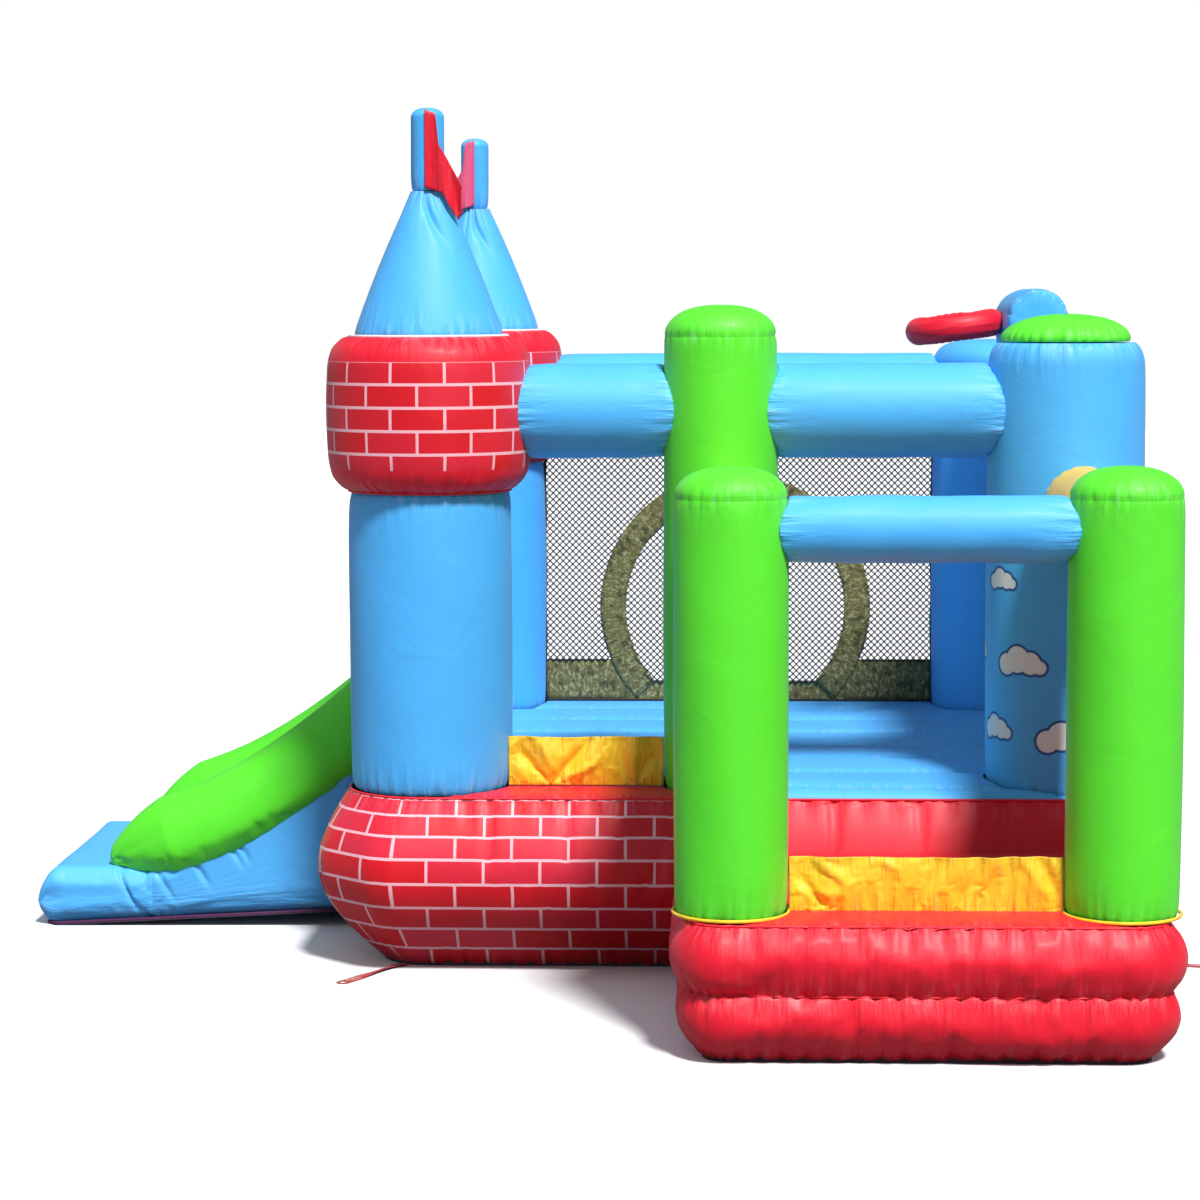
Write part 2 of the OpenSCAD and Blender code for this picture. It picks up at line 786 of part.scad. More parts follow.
// The motor hangs through the shell's side wall on its own flange.
module blower_motor() {
    x = fan_x + fan_w / 2;
    color("dimgray") difference() {
        union() {
            translate([x - 40, fan_y, fan_z]) rotate([0, 90, 0]) cylinder(r = motor_r, h = 110);
            translate([x + 0.5, fan_y, fan_z]) rotate([0, 90, 0]) cylinder(r = motor_r + 16, h = 5);
            for (i = [0:15]) translate([x + 20, fan_y, fan_z]) rotate([i * 22.5, 0, 0])
                translate([0, motor_r - 3, -1.5]) cube([46, 10, 3]);
        }
        translate([x - 41, fan_y, fan_z]) rotate([0, 90, 0]) cylinder(r = shaft_r + 0.05, h = 90);
    }
}

blade_count = 24;
wheel_r = 118;

// Squirrel-cage wheel on the motor shaft.
module blower_impeller() {
    color("whitesmoke") translate([fan_x, fan_y, fan_z]) rotate([0, 90, 0]) {
        translate([0, 0, -8]) cylinder(r = wheel_r, h = 4);
        translate([0, 0, -74]) difference() {
            cylinder(r = wheel_r, h = 4);
            translate([0, 0, -1]) cylinder(r = wheel_r - 22, h = 6);
        }
        for (i = [0:blade_count - 1]) rotate(i * 360 / blade_count)
            translate([wheel_r - 21, -1.2, -71]) cube([20, 2.4, 64]);
        translate([0, 0, -30]) cylinder(r = 18, h = 24);
        translate([0, 0, -28]) cylinder(r = shaft_r, h = 100);
    }
}

module blower_inlet_guard() {
    rim_r = 82;
    wire = 4;
    gap = 8;    // from the wires to the shell
    color("dimgray") translate([fan_x - fan_w / 2 - gap, fan_y, fan_z]) rotate([0, 90, 0]) {
        for (i = [1:5]) rotate_extrude() translate([i * rim_r / 5, 0]) square(wire, center = true);
        for (i = [0:5]) rotate(i * 60) translate([8, -1.5, -3.5]) cube([rim_r - 8, 3, 4]);
        translate([0, 0, -4.5]) cylinder(r = 12, h = 5);
        for (i = [0:2]) rotate(30 + i * 120) translate([rim_r, 0, 0]) cylinder(r = 3, h = gap - 0.5);
    }
}

switch_y = fan_y + 40;
switch_z = fan_z + 95;

module switch_hole() {
    translate([fan_x + fan_w / 2 - 10, switch_y - 12, switch_z - 18]) cube([20, 24, 36]);
}

// A rocker that turns about a pin along Y.
module blower_switch() {
    x = fan_x + fan_w / 2 - 2;
    color("red") difference() {
        translate([x, switch_y, switch_z]) rotate([90, 0, 0]) linear_extrude(20, center = true)
            polygon([[-6, -13], [4, -14], [3, 0], [7, 14], [-6, 13]]);
        translate([x, switch_y, switch_z]) rotate([90, 0, 0]) cylinder(r = 1.5, h = 30, center = true);
    }
}

// A moulded grip on two posts above the housing.
module blower_handle() {
    post_y = 55;
    post = [22, 18, 48];
    sunk = 8;       // how far a post reaches down over the round housing
    z = fan_z + fan_r + 1;
    color("dimgray") translate([fan_x, fan_y, 0]) {
        for (s = [-1, 1]) translate([-post[0] / 2, s * post_y - post[1] / 2, z - sunk]) difference() {
            cube(post);
            translate([-1, post[1] / 2 - s * post_y, fan_z + sunk - z]) rotate([0, 90, 0])
                cylinder(r = fan_r + 1, h = post[0] + 2);
        }
        translate([0, 0, z + post[2]]) rotate([90, 0, 0]) cylinder(r = 13, h = 128, center = true);
    }
}

cable_r = 4;

// A quarter turn of the lead, of radius r about the origin.
module lead_turn(r) {
    rotate_extrude(angle = 90) translate([r, 0]) circle(cable_r, $fn = 24);
}

module lead_run(length) {
    cylinder(r = cable_r, h = length, $fn = 24);
}

// The mains lead: out of the motor, down to the ground and round to its plug.
module blower_cable() {
    bend = 40;
    turn = 90;
    tail = 60;
    plug = [30, 38, 22];
    start_x = fan_x + fan_w / 2 + 72;
    ground_x = start_x + 2 * bend;
    end_x = ground_x + 2 * turn;
    drop = fan_z - 2 * bend - cable_r;
    color("black") {
        translate([start_x, fan_y, fan_z - bend]) rotate([90, 0, 0]) lead_turn(bend);
        translate([start_x + bend, fan_y, fan_z - bend - drop]) lead_run(drop);
        translate([ground_x, fan_y, cable_r + bend]) rotate([90, 0, 0]) rotate(180) lead_turn(bend);
        translate([ground_x, fan_y, cable_r]) rotate([0, 90, 0]) lead_run(turn);
        translate([ground_x + turn, fan_y + turn, cable_r]) rotate(-90) lead_turn(turn);
        translate([end_x, fan_y + turn, cable_r]) rotate([-90, 0, 0]) lead_run(tail);
        translate([end_x - plug[0] / 2, fan_y + turn + tail, 0]) cube(plug);
        for (s = [-1, 1]) translate([end_x + s * 7 - 3, fan_y + turn + tail + plug[1], plug[2] / 2 - 1])
            cube([6, 18, 2]);
    }
}

// ---------- the part ----------

ground_sheet();
base_wall();
jump_floor();
floor_baffles();
translate([-col_x, -col_y, 0]) tower_column();  // front_left_column
translate([-col_x, -col_y, 0]) tower_crown();  // front_left_crown
translate([-col_x, -col_y, 0]) tower_cone();  // front_left_cone
translate([-col_x, -col_y, 0]) tower_finial();  // front_left_finial
front_flag();
translate([-col_x, col_y, 0]) tower_column();  // back_left_column
translate([-col_x, col_y, 0]) tower_crown();  // back_left_crown
translate([-col_x, col_y, 0]) tower_cone();  // back_left_cone
translate([-col_x, col_y, 0]) tower_finial();  // back_left_finial
back_flag();
middle_column();
front_right_column();
front_right_cap();
back_right_column();
front_left_rail();
front_right_rail();
back_rail();
left_rail();
right_rail();
back_mesh();
back_mesh_bands();
right_mesh();
doorway_meshes();
entry_threshold();
hoop_backboard();
hoop_ring();
porch_base();
porch_floor();
porch_left_column();
porch_right_column();
porch_front_rail();
porch_side_rails();
porch_side_meshes();
porch_threshold();
slide_ramp();
landing_pad();
slide_lane();
front_bolster();
back_bolster();
anchor_strap_front_left();
anchor_strap_back_left();
anchor_strap_back_right();
anchor_strap_front_right();
deflate_zip_tape();
deflate_zip_slider();
deflate_zip_pull();
inlet_sleeve();
sleeve_strap();
blower_inlet_shell();
blower_motor_shell();
blower_motor();
blower_impeller();
blower_inlet_guard();
blower_switch();
blower_handle();
blower_cable();
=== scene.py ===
import json
import math

import bmesh
import bpy
import numpy as np
from mathutils import Euler, Matrix, Vector


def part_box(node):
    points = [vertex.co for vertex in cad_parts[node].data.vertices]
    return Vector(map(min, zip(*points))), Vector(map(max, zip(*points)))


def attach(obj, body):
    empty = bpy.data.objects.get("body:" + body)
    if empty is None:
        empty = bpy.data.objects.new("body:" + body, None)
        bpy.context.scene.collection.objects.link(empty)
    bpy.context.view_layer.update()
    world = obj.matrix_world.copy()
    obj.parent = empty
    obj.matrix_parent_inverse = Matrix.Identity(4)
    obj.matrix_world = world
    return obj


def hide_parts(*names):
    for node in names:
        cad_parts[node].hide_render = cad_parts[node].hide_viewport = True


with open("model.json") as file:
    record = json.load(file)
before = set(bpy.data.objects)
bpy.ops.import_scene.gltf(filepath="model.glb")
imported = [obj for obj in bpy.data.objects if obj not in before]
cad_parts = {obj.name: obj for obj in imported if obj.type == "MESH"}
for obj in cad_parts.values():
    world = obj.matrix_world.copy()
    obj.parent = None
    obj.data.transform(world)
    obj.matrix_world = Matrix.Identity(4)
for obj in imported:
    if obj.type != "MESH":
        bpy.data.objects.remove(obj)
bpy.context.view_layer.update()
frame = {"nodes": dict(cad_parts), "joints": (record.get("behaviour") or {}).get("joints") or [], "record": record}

TAU = 2 * math.pi
HOUSE = "house"
SEAM_GAP = 0.002            # the CAD skins stop this far from each other
CLOTH_FRAMES = 18
LID_SEAM = 0.30             # a lid is drawn as if this far from a seam


# ---------------------------------------------------------------- small helpers

def box(node):
    lo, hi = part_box(node)
    return np.array(lo), np.array(hi)


def built(bm, name):
    """The mesh of a finished bmesh, which is freed."""
    mesh = bpy.data.meshes.new(name)
    bm.to_mesh(mesh)
    bm.free()
    return mesh


def weld(mesh):
    """Joins points that lie on each other."""
    bm = bmesh.new()
    bm.from_mesh(mesh)
    bmesh.ops.remove_doubles(bm, verts=bm.verts, dist=1e-5)
    bm.to_mesh(mesh)
    bm.free()


def axis_of(node):
    """Centre and outer radius of an upright round node, with its lowest and highest z."""
    lo, hi = box(node)
    return (lo[:2] + hi[:2]) / 2, (hi[0] - lo[0]) / 2, lo[2], hi[2]


def graded(count, ends=0.85):
    """Places from 0 to 1 that lie closer together near both ends."""
    t = np.linspace(0, 1, count + 1)
    return t - ends * np.sin(TAU * t) / TAU


def smooth(x):
    x = np.clip(x, 0, 1)
    return x * x * (3 - 2 * x)


def waves(place, counts, seed):
    """A smooth repeatable wobble about 0, from waves that go round a whole number of times."""
    rng = np.random.default_rng(seed)
    total = 0
    for k in counts:
        total = total + rng.uniform(0.5, 1) * np.sin(TAU * k * place + rng.uniform(0, TAU))
    return total / math.sqrt(len(counts))


def pleats(place, away, depth, reach, count, seed):
    """Depth of the sharp gathers that run away from a sewn seam. place is 0 to 1 along the seam."""
    half = max(count // 2, 3)
    s = waves(place, range(half - 3, half + 4), seed)
    length = reach * (0.65 + 0.35 * waves(place, (3, 5, 8), seed + 1))
    return depth * np.exp(-(s / 0.35) ** 2) * np.exp(-(away / np.clip(length, 0.01, None)) ** 1.4)


def running(points):
    """Distance along a line of points, from its first."""
    steps = np.linalg.norm(np.diff(points, axis=0), axis=1)
    return np.concatenate([[0], np.cumsum(steps)])


# ---------------------------------------------------------------- materials

class Shader:
    """Short calls for building one material's node tree."""

    def __init__(self, name):
        self.mat = bpy.data.materials.new(name)
        self.mat.use_nodes = True
        self.nodes = self.mat.node_tree.nodes
        self.links = self.mat.node_tree.links
        self.bsdf = self.nodes["Principled BSDF"]

    def put(self, socket, value):
        if isinstance(value, bpy.types.NodeSocket):
            self.links.new(value, socket)
        else:
            socket.default_value = value

    def node(self, kind, inputs=(), out=0, **settings):
        made = self.nodes.new(kind)
        for key, value in settings.items():
            setattr(made, key, value)
        for key, value in dict(inputs).items():
            self.put(made.inputs[key], value)
        return made.outputs[out]

    def math(self, operation, a, b=0.0, c=0.0):
        return self.node("ShaderNodeMath", {0: a, 1: b, 2: c}, operation=operation)

    def mix(self, factor, a, b):
        return self.node("ShaderNodeMix", {0: factor, 6: a, 7: b}, out=2, data_type="RGBA")

    def multiply(self, factor, a, b):
        return self.node("ShaderNodeMix", {0: factor, 6: a, 7: b}, out=2, data_type="RGBA",
                         blend_type="MULTIPLY")

    def step(self, value, low, high):
        """0 below low and 1 above high, smooth between."""
        return self.node("ShaderNodeMapRange", {0: value, 1: low, 2: high, 3: 0.0, 4: 1.0},
                         interpolation_type="SMOOTHSTEP")

    def noise(self, vector, scale, detail=2.0, out=0, distortion=0.0):
        return self.node("ShaderNodeTexNoise", {"Vector": vector, "Scale": scale, "Detail": detail,
                                                "Distortion": distortion}, out=out)

    def bump(self, height, distance, strength=1.0, after=None):
        inputs = {"Strength": strength, "Distance": distance, "Height": height}
        if after is not None:
            inputs["Normal"] = after
        return self.node("ShaderNodeBump", inputs)

    def uv(self):
        """The u and v of the piece in metres, and both as one vector."""
        both = self.node("ShaderNodeUVMap", uv_map="metres")
        parts = self.nodes.new("ShaderNodeSeparateXYZ")
        self.links.new(both, parts.inputs[0])
        return parts.outputs[0], parts.outputs[1], both

    def place(self):
        return self.node("ShaderNodeTexCoord", out=3)

    def attribute(self, name):
        return self.node("ShaderNodeAttribute", out=2, attribute_name=name)

    def set(self, **inputs):
        for key, value in inputs.items():
            self.put(self.bsdf.inputs[key.replace("_", " ")], value)


def rgb(r, g, b):
    """An sRGB colour from 0 to 255 as the linear colour that nodes take."""
    def line(c):
        c /= 255
        return c / 12.92 if c <= 0.04045 else ((c + 0.055) / 1.055) ** 2.4
    return (line(r), line(g), line(b), 1.0)


def shade(colour, k):
    return tuple(min(c * k, 1.0) for c in colour[:3]) + (1.0,)


SKY = rgb(80, 184, 255)
GREEN = rgb(92, 232, 42)
RED = rgb(238, 12, 44)
YELLOW = rgb(252, 204, 40)
KHAKI = rgb(108, 100, 50)
MORTAR = rgb(255, 190, 202)
BRICK_DEEP = rgb(224, 4, 26)
BRICK_PINK = rgb(232, 44, 74)
WHITE = rgb(238, 240, 242)
THREAD_PITCH = 0.0022       # two threads of the cloth


def coated_cloth(name, colour, paint=None, gather=1.0, gloss=0.40, pleat_highlight=0.2):
    """Coated woven cloth: weave, soft wrinkles, gathers by the seams and a row of stitches.

    pleat_highlight is how strongly a painted highlight whitens the pleats beside a seam."""
    s = Shader(name)
    u, v, both = s.uv()
    place = s.place()
    seam = s.attribute("seam_m")
    base = colour
    if paint is not None:
        base = paint(s, u, v, both)
    # colour: broad fading, a fine mottle from the weave, and painted shade with dirt in the seams
    broad = s.noise(place, 2.3, 3.0)
    mottle = s.noise(both, 420.0, 2.0)
    tone = s.math("ADD", s.math("MULTIPLY_ADD", broad, 0.16, 0.92),
                  s.math("MULTIPLY_ADD", mottle, 0.10, -0.05))
    tint = s.node("ShaderNodeCombineColor", {0: tone, 1: tone, 2: tone})
    base = s.multiply(1.0, base, tint)
    # painted highlight: pale streaks on the pleats beside a seam, where the folds would catch the light
    stretched = s.node("ShaderNodeMapping", {"Vector": both, "Scale": (46.0, 7.0, 1.0)})
    fine = s.noise(stretched, 1.0, 3.0)
    edge = s.math("EXPONENT", s.math("DIVIDE", seam, -0.030))
    highlight_streak = s.math("MULTIPLY", s.step(fine, 0.50, 0.66), edge)
    base = s.mix(s.math("MULTIPLY", highlight_streak, pleat_highlight), base, rgb(235, 240, 245))
    # painted shade with dirt: the cloth darkens to 30% of its colour right at the seams, where the creases lie in
    # shade
    crease = s.step(seam, 0.0, 0.005)
    base = s.mix(s.math("MULTIPLY_ADD", crease, -0.24, 0.24), base, shade(colour, 0.30))
    # stitches: dashes in a row beside the seam
    row = s.math("COMPARE", seam, 0.0125, 0.0012)
    dash = s.math("LESS_THAN", s.math("FRACT", s.math("DIVIDE", u, 0.0085)), 0.62)
    stitch = s.math("MULTIPLY", row, dash)
    base = s.mix(s.math("MULTIPLY", stitch, 0.55), base, shade(colour, 1.5))
    # height: plain weave, wrinkles and gathers
    k = TAU / THREAD_PITCH
    weave = s.math("MULTIPLY", s.math("SINE", s.math("MULTIPLY", u, k)),
                   s.math("SINE", s.math("MULTIPLY", v, k)))
    soft = s.noise(place, 5.5, 4.0, distortion=0.8)
    near = s.math("EXPONENT", s.math("DIVIDE", seam, -0.055))
    gathers = s.math("MULTIPLY", s.math("MULTIPLY", s.math("SUBTRACT", fine, 0.5), near), gather)
    normal = s.bump(soft, 0.014, 0.28)
    normal = s.bump(gathers, 0.020, 0.8, normal)
    normal = s.bump(s.math("MULTIPLY", stitch, 1.0), 0.0012, 0.8, normal)
    normal = s.bump(weave, 0.00022, 0.65, normal)
    rough = s.math("ADD", s.math("MULTIPLY_ADD", mottle, 0.10, gloss - 0.05), s.math("MULTIPLY", broad, 0.08))
    s.set(Base_Color=base, Roughness=rough, Normal=normal)
    s.set(Sheen_Weight=0.06, Sheen_Roughness=0.50, Coat_Weight=0.20, Coat_Roughness=0.36)
    s.set(Specular_IOR_Level=0.35)
    return s.mat


def brick_paint(row, length, low, high, phase, along=0.0, blank=None):
    """A printed brick wall between low and high, measured up the cloth, and plain red outside that.

    blank is a range of x on the front face that has no bricks."""
    def paint(s, u, v, both):
        shifted = s.node("ShaderNodeMapping", {"Vector": both, "Location": (along, -phase, 0.0)})
        wall = s.nodes.new("ShaderNodeTexBrick")
        wall.offset = 0.5
        values = {"Vector": shifted, "Color1": BRICK_DEEP, "Color2": BRICK_PINK, "Mortar": MORTAR,
                  "Scale": 1.0, "Mortar Size": 0.0050, "Mortar Smooth": 0.25, "Bias": -0.25,
                  "Brick Width": length, "Row Height": row}
        for key, value in values.items():
            s.put(wall.inputs[key], value)
        inside = s.math("MULTIPLY", s.step(v, low - 0.002, low + 0.002),
                        s.step(v, high + 0.002, high - 0.002))
        if blank:
            spot = s.nodes.new("ShaderNodeSeparateXYZ")
            s.links.new(s.place(), spot.inputs[0])
            x, y = spot.outputs[0], spot.outputs[1]
            behind = s.math("MULTIPLY", s.math("GREATER_THAN", x, blank[0]), s.math("LESS_THAN", x, blank[1]))
            behind = s.math("MULTIPLY", behind, s.math("LESS_THAN", y, 0.0))
            inside = s.math("MULTIPLY", inside, s.math("SUBTRACT", 1.0, behind))
        return s.mix(inside, RED, wall.outputs["Color"])
    return paint


def mottled_paint(colour, light, dark):
    """Cloth whose print is a fine camouflage of lighter and darker specks."""
    def paint(s, u, v, both):
        stretched = s.node("ShaderNodeMapping", {"Vector": both, "Scale": (1.0, 0.55, 1.0)})
        specks = s.noise(stretched, 95.0, 3.0, distortion=1.2)
        patches = s.noise(stretched, 42.0, 2.0)
        base = s.mix(s.step(specks, 0.52, 0.60), colour, light)
        return s.mix(s.step(patches, 0.55, 0.64), base, dark)
    return paint


def cloud_paint(colour, spots):
    """Plain cloth with soft white clouds printed at the given places (u, v, size) in metres."""
    puffs = ((-0.62, 0.0, 0.42), (-0.12, 0.20, 0.52), (0.42, 0.08, 0.44), (0.80, -0.06, 0.28))

    def paint(s, u, v, both):
        cloud = 0.0
        rim = 0.0
        for cu, cv, size in spots:
            for pu, pv, pr in puffs:
                away = s.node("ShaderNodeVectorMath", {0: both, 1: (cu + pu * size, cv + pv * size, 0.0)},
                              out=1, operation="DISTANCE")
                cloud = s.math("MAXIMUM", cloud, s.step(away, pr * size, pr * size - 0.004))
                rim = s.math("MAXIMUM", rim, s.step(away, pr * size + 0.008, pr * size + 0.004))
        base = s.mix(rim, colour, rgb(24, 84, 160))
        return s.mix(cloud, base, WHITE)
    return paint


def webbing(name, colour):
    """Flat woven webbing with a ribbed herringbone face."""
    s = Shader(name)
    u, v, both = s.uv()
    slant = s.math("ADD", s.math("MULTIPLY", u, TAU / 0.0032),
                   s.math("MULTIPLY", s.math("ABSOLUTE", s.math("SINE", s.math("MULTIPLY", v, 260.0))), 3.0))
    rib = s.math("SINE", slant)
    grain = s.noise(both, 700.0, 2.0)
    lift = s.math("MULTIPLY_ADD", rib, 0.22, 0.78)
    tint = s.node("ShaderNodeCombineColor", {0: lift, 1: lift, 2: lift})
    s.set(Base_Color=s.multiply(0.8, colour, tint), Roughness=s.math("MULTIPLY_ADD", grain, 0.2, 0.62))
    s.set(Normal=s.bump(rib, 0.0005, 0.9), Sheen_Weight=0.35)
    return s.mat


def net_cord(name, colour):
    s = Shader(name)
    place = s.place()
    twist = s.noise(place, 900.0, 2.0)
    s.set(Base_Color=s.mix(twist, shade(colour, 0.6), shade(colour, 1.5)), Roughness=0.75)
    s.set(Normal=s.bump(twist, 0.0006, 0.7), Sheen_Weight=0.2)
    return s.mat


def moulded(name, colour, rough=0.42, grain=380.0, clear=0.0):
    """Moulded plastic or rubber with a fine texture, scuffs and paler worn edges."""
    s = Shader(name)
    place = s.place()
    fine = s.noise(place, grain, 3.0)
    broad = s.noise(place, 9.0, 5.0)
    geo = s.node("ShaderNodeNewGeometry", out=7)
    worn = s.step(geo, 0.54, 0.62)
    tone = s.mix(broad, shade(colour, 0.86), shade(colour, 1.08))
    tone = s.mix(s.math("MULTIPLY", worn, 0.35), tone, shade(colour, 1.7))
    scuff = s.step(s.noise(place, 24.0, 8.0, distortion=2.0), 0.60, 0.74)
    s.set(Base_Color=tone, Roughness=s.math("ADD", s.math("MULTIPLY_ADD", broad, 0.16, rough - 0.08),
                                            s.math("MULTIPLY", scuff, 0.12)))
    s.set(Normal=s.bump(fine, 0.0004, 0.5), Coat_Weight=clear)
    return s.mat


def metal(name, colour, rough=0.35, shine=1.0):
    s = Shader(name)
    place = s.place()
    grain = s.noise(place, 260.0, 4.0)
    broad = s.noise(place, 14.0, 5.0)
    s.set(Base_Color=s.mix(broad, shade(colour, 0.8), shade(colour, 1.1)), Metallic=shine)
    s.set(Roughness=s.math("MULTIPLY_ADD", broad, 0.22, rough - 0.08), Normal=s.bump(grain, 0.0002, 0.4))
    return s.mat


# ---------------------------------------------------------------- pieces

def finish_piece(name, mesh, slot, material, *nodes, body=HOUSE):
    mesh.materials.append(material)
    for face in mesh.polygons:
        face.use_smooth = True
    piece = bpy.data.objects.new(name, mesh)
    bpy.context.collection.objects.link(piece)
    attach(piece, body)
    if nodes:
        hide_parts(*nodes)
    return piece


def skin_mesh(name, rows, closed=True, ends=("cap", "cap"), seam=None, girth=None, up=None):
    """A grid of quads through rows of points, with UVs in metres and each point's distance to a seam.

    rows is an array of (rows, points in a row, 3). closed joins each row's end to its start. An end is
    "open", "cap" for a flat lid with rings, or "pole" for one point at the row's centre. girth is the
    cloth's length round a row, and up holds each row's v, where a print needs them."""
    rows = np.asarray(rows, float)
    m, n = rows.shape[:2]
    across = [running(np.vstack([r, r[:1]]) if closed else r) for r in rows]
    u = np.mean(across, axis=0)
    if girth:
        u = u * girth / u[-1]
    v = np.mean([running(rows[:, i]) for i in range(0, n, max(1, n // 16))], axis=0)
    if seam is None:
        to_low = v if ends[0] != "pole" else v + 1
        to_high = v[-1] - v if ends[1] != "pole" else v + 1
        seam = np.minimum(to_low, to_high)[:, None] * np.ones(n)
    if up is not None:
        v = np.asarray(up)
    points = [rows.reshape(-1, 3)]
    seams = [np.asarray(seam, float).reshape(-1)]
    quads, uvs = [], []
    columns = n if closed else n - 1
    for j in range(m - 1):
        for i in range(columns):
            k = (i + 1) % n
            quads.append((j * n + i, j * n + k, (j + 1) * n + k, (j + 1) * n + i))
            uvs.append(((u[i], v[j]), (u[i + 1], v[j]), (u[i + 1], v[j + 1]), (u[i], v[j + 1])))
    count = m * n
    for end, row, base, side in ((0, rows[0], 0, ends[0]), (1, rows[-1], (m - 1) * n, ends[1])):
        if side == "open" or not closed:
            continue
        edge_v = v[0] if end == 0 else v[-1]
        centre = row.mean(0)
        ring = base
        for inset in ((0.66, 0.33) if side == "cap" else ()):
            points.append(centre + (row - centre) * inset)
            seams.append(np.full(n, LID_SEAM))
            for i in range(n):
                k = (i + 1) % n
                quads.append((ring + i, ring + k, count + k, count + i))
                uvs.append(((u[i], edge_v),) * 4)
            ring = count
            count += n
        points.append(centre[None])
        seams.append(seams[0][base:base + 1] if side == "pole" else np.full(1, LID_SEAM))
        for i in range(n):
            quads.append((ring + i, ring + (i + 1) % n, count))
            uvs.append(((u[i], edge_v), (u[i + 1], edge_v), ((u[i] + u[i + 1]) / 2, edge_v)))
        count += 1
    mesh = bpy.data.meshes.new(name)
    mesh.from_pydata(np.vstack(points).tolist(), [], quads)
    layer = mesh.uv_layers.new(name="metres")
    layer.data.foreach_set("uv", np.array([c for face in uvs for c in face], np.float32).ravel())
    held = mesh.attributes.new("seam_m", "FLOAT", "POINT")
    held.data.foreach_set("value", np.concatenate(seams).astype(np.float32))
    turned = bmesh.new()
    turned.from_mesh(mesh)
    bmesh.ops.recalc_face_normals(turned, faces=turned.faces)
    turned.to_mesh(mesh)
    turned.free()
    return mesh, v


def skin(name, slot, material, rows, *nodes, closed=True, ends=("cap", "cap"), seam=None, body=HOUSE,
         **print_sizes):
    mesh, _ = skin_mesh(name, rows, closed, ends, seam, **print_sizes)
    return finish_piece(name, mesh, slot, material, *nodes, body=body)


def turned_rows(centre, radius, height, count=144, pucker=None):
    """Rows of a round form about an upright axis. pucker(place, row distance) is taken off the radius."""
    place = np.arange(count) / count
    angle = TAU * place
    away = running(np.stack([radius, height], 1))
    rows = []
    for r, z, d in zip(radius, height, away):
        cut = pucker(place, d, away[-1] - d) if pucker else 0
        rr = np.maximum(r - cut, 0.001)
        rows.append(np.stack([centre[0] + rr * np.cos(angle), centre[1] + rr * np.sin(angle),
                              np.full(count, z)], 1))
    return np.array(rows)


def both_ends(depth, reach, count, seed, low=1.0, high=1.0):
    """Gathers at both seams of a tube."""
    def pucker(place, d0, d1):
        out = 0.0
        if low:
            out = out + low * pleats(place, d0, depth, reach, count, seed) + 0.011 * low * np.exp(-d0 / 0.016)
        if high:
            out = out + high * pleats(place, d1, depth, reach, count,
                                      seed + 7) + 0.011 * high * np.exp(-d1 / 0.016)
        return out - 0.0016 * waves(place + 0.3 * d0, (2, 3, 5), seed + 3)
    return pucker


def welt(name, slot, material, points, radius=0.004, closed=True, body=HOUSE):
    """A cord of piping sewn along a line of points."""
    points = np.asarray(points, float)
    nxt = np.roll(points, -1, 0) if closed else np.vstack([points[1:], 2 * points[-1:] - points[-2:-1]])
    prv = np.roll(points, 1, 0) if closed else np.vstack([2 * points[:1] - points[1:2], points[:-1]])
    tangent = nxt - prv
    tangent /= np.linalg.norm(tangent, axis=1)[:, None]
    up = np.where(np.abs(tangent[:, 2:3]) > 0.9, [[1.0, 0, 0]], [[0, 0, 1.0]])
    side = np.cross(tangent, up)
    side /= np.linalg.norm(side, axis=1)[:, None]
    top = np.cross(side, tangent)
    a = TAU * np.arange(8) / 8
    rows = points[:, None] + radius * (np.cos(a)[None, :, None] * side[:, None] + np.sin(a)[None, :, None]
                                       * top[:, None])
    if closed:
        rows = np.vstack([rows, rows[:1]])
    mesh, _ = skin_mesh(name, rows, True, ("open", "open") if closed else ("pole", "pole"),
                        seam=np.full(rows.shape[:2], 0.05))
    if closed:
        weld(mesh)
    return finish_piece(name, mesh, slot, material, body=body)


def circle(centre, r, z, count=96):
    a = TAU * np.arange(count) / count
    return np.stack([centre[0] + r * np.cos(a), centre[1] + r * np.sin(a), np.full(count, z)], 1)


# ---------------------------------------------------------------- cloth

cloth_jobs = []


def inflate(piece, pressure, slack, cap, pinned, stiff=12.0):
    """Asks for a cloth simulation of the piece, with air pressure inside where it is above 0.
    pinned marks the points held by seams.

    slack is the extra cloth, as a share of its length, and no point moves further than cap."""
    group = piece.vertex_groups.new(name="sewn")
    group.add([int(i) for i in np.nonzero(pinned)[0]], 1.0, "REPLACE")
    cloth = piece.modifiers.new("air", "CLOTH")
    settings = cloth.settings
    settings.quality = 6
    settings.mass = 0.25
    settings.tension_stiffness = stiff
    settings.compression_stiffness = stiff
    settings.shear_stiffness = stiff / 2
    settings.bending_stiffness = 0.25
    settings.air_damping = 3.0
    settings.use_pressure = pressure > 0
    settings.uniform_pressure_force = pressure
    settings.vertex_group_mass = "sewn"
    settings.shrink_min = -slack
    settings.effector_weights.gravity = 0.0
    cloth.point_cache.frame_start = 1
    cloth.point_cache.frame_end = CLOTH_FRAMES
    cloth_jobs.append((piece, cap))


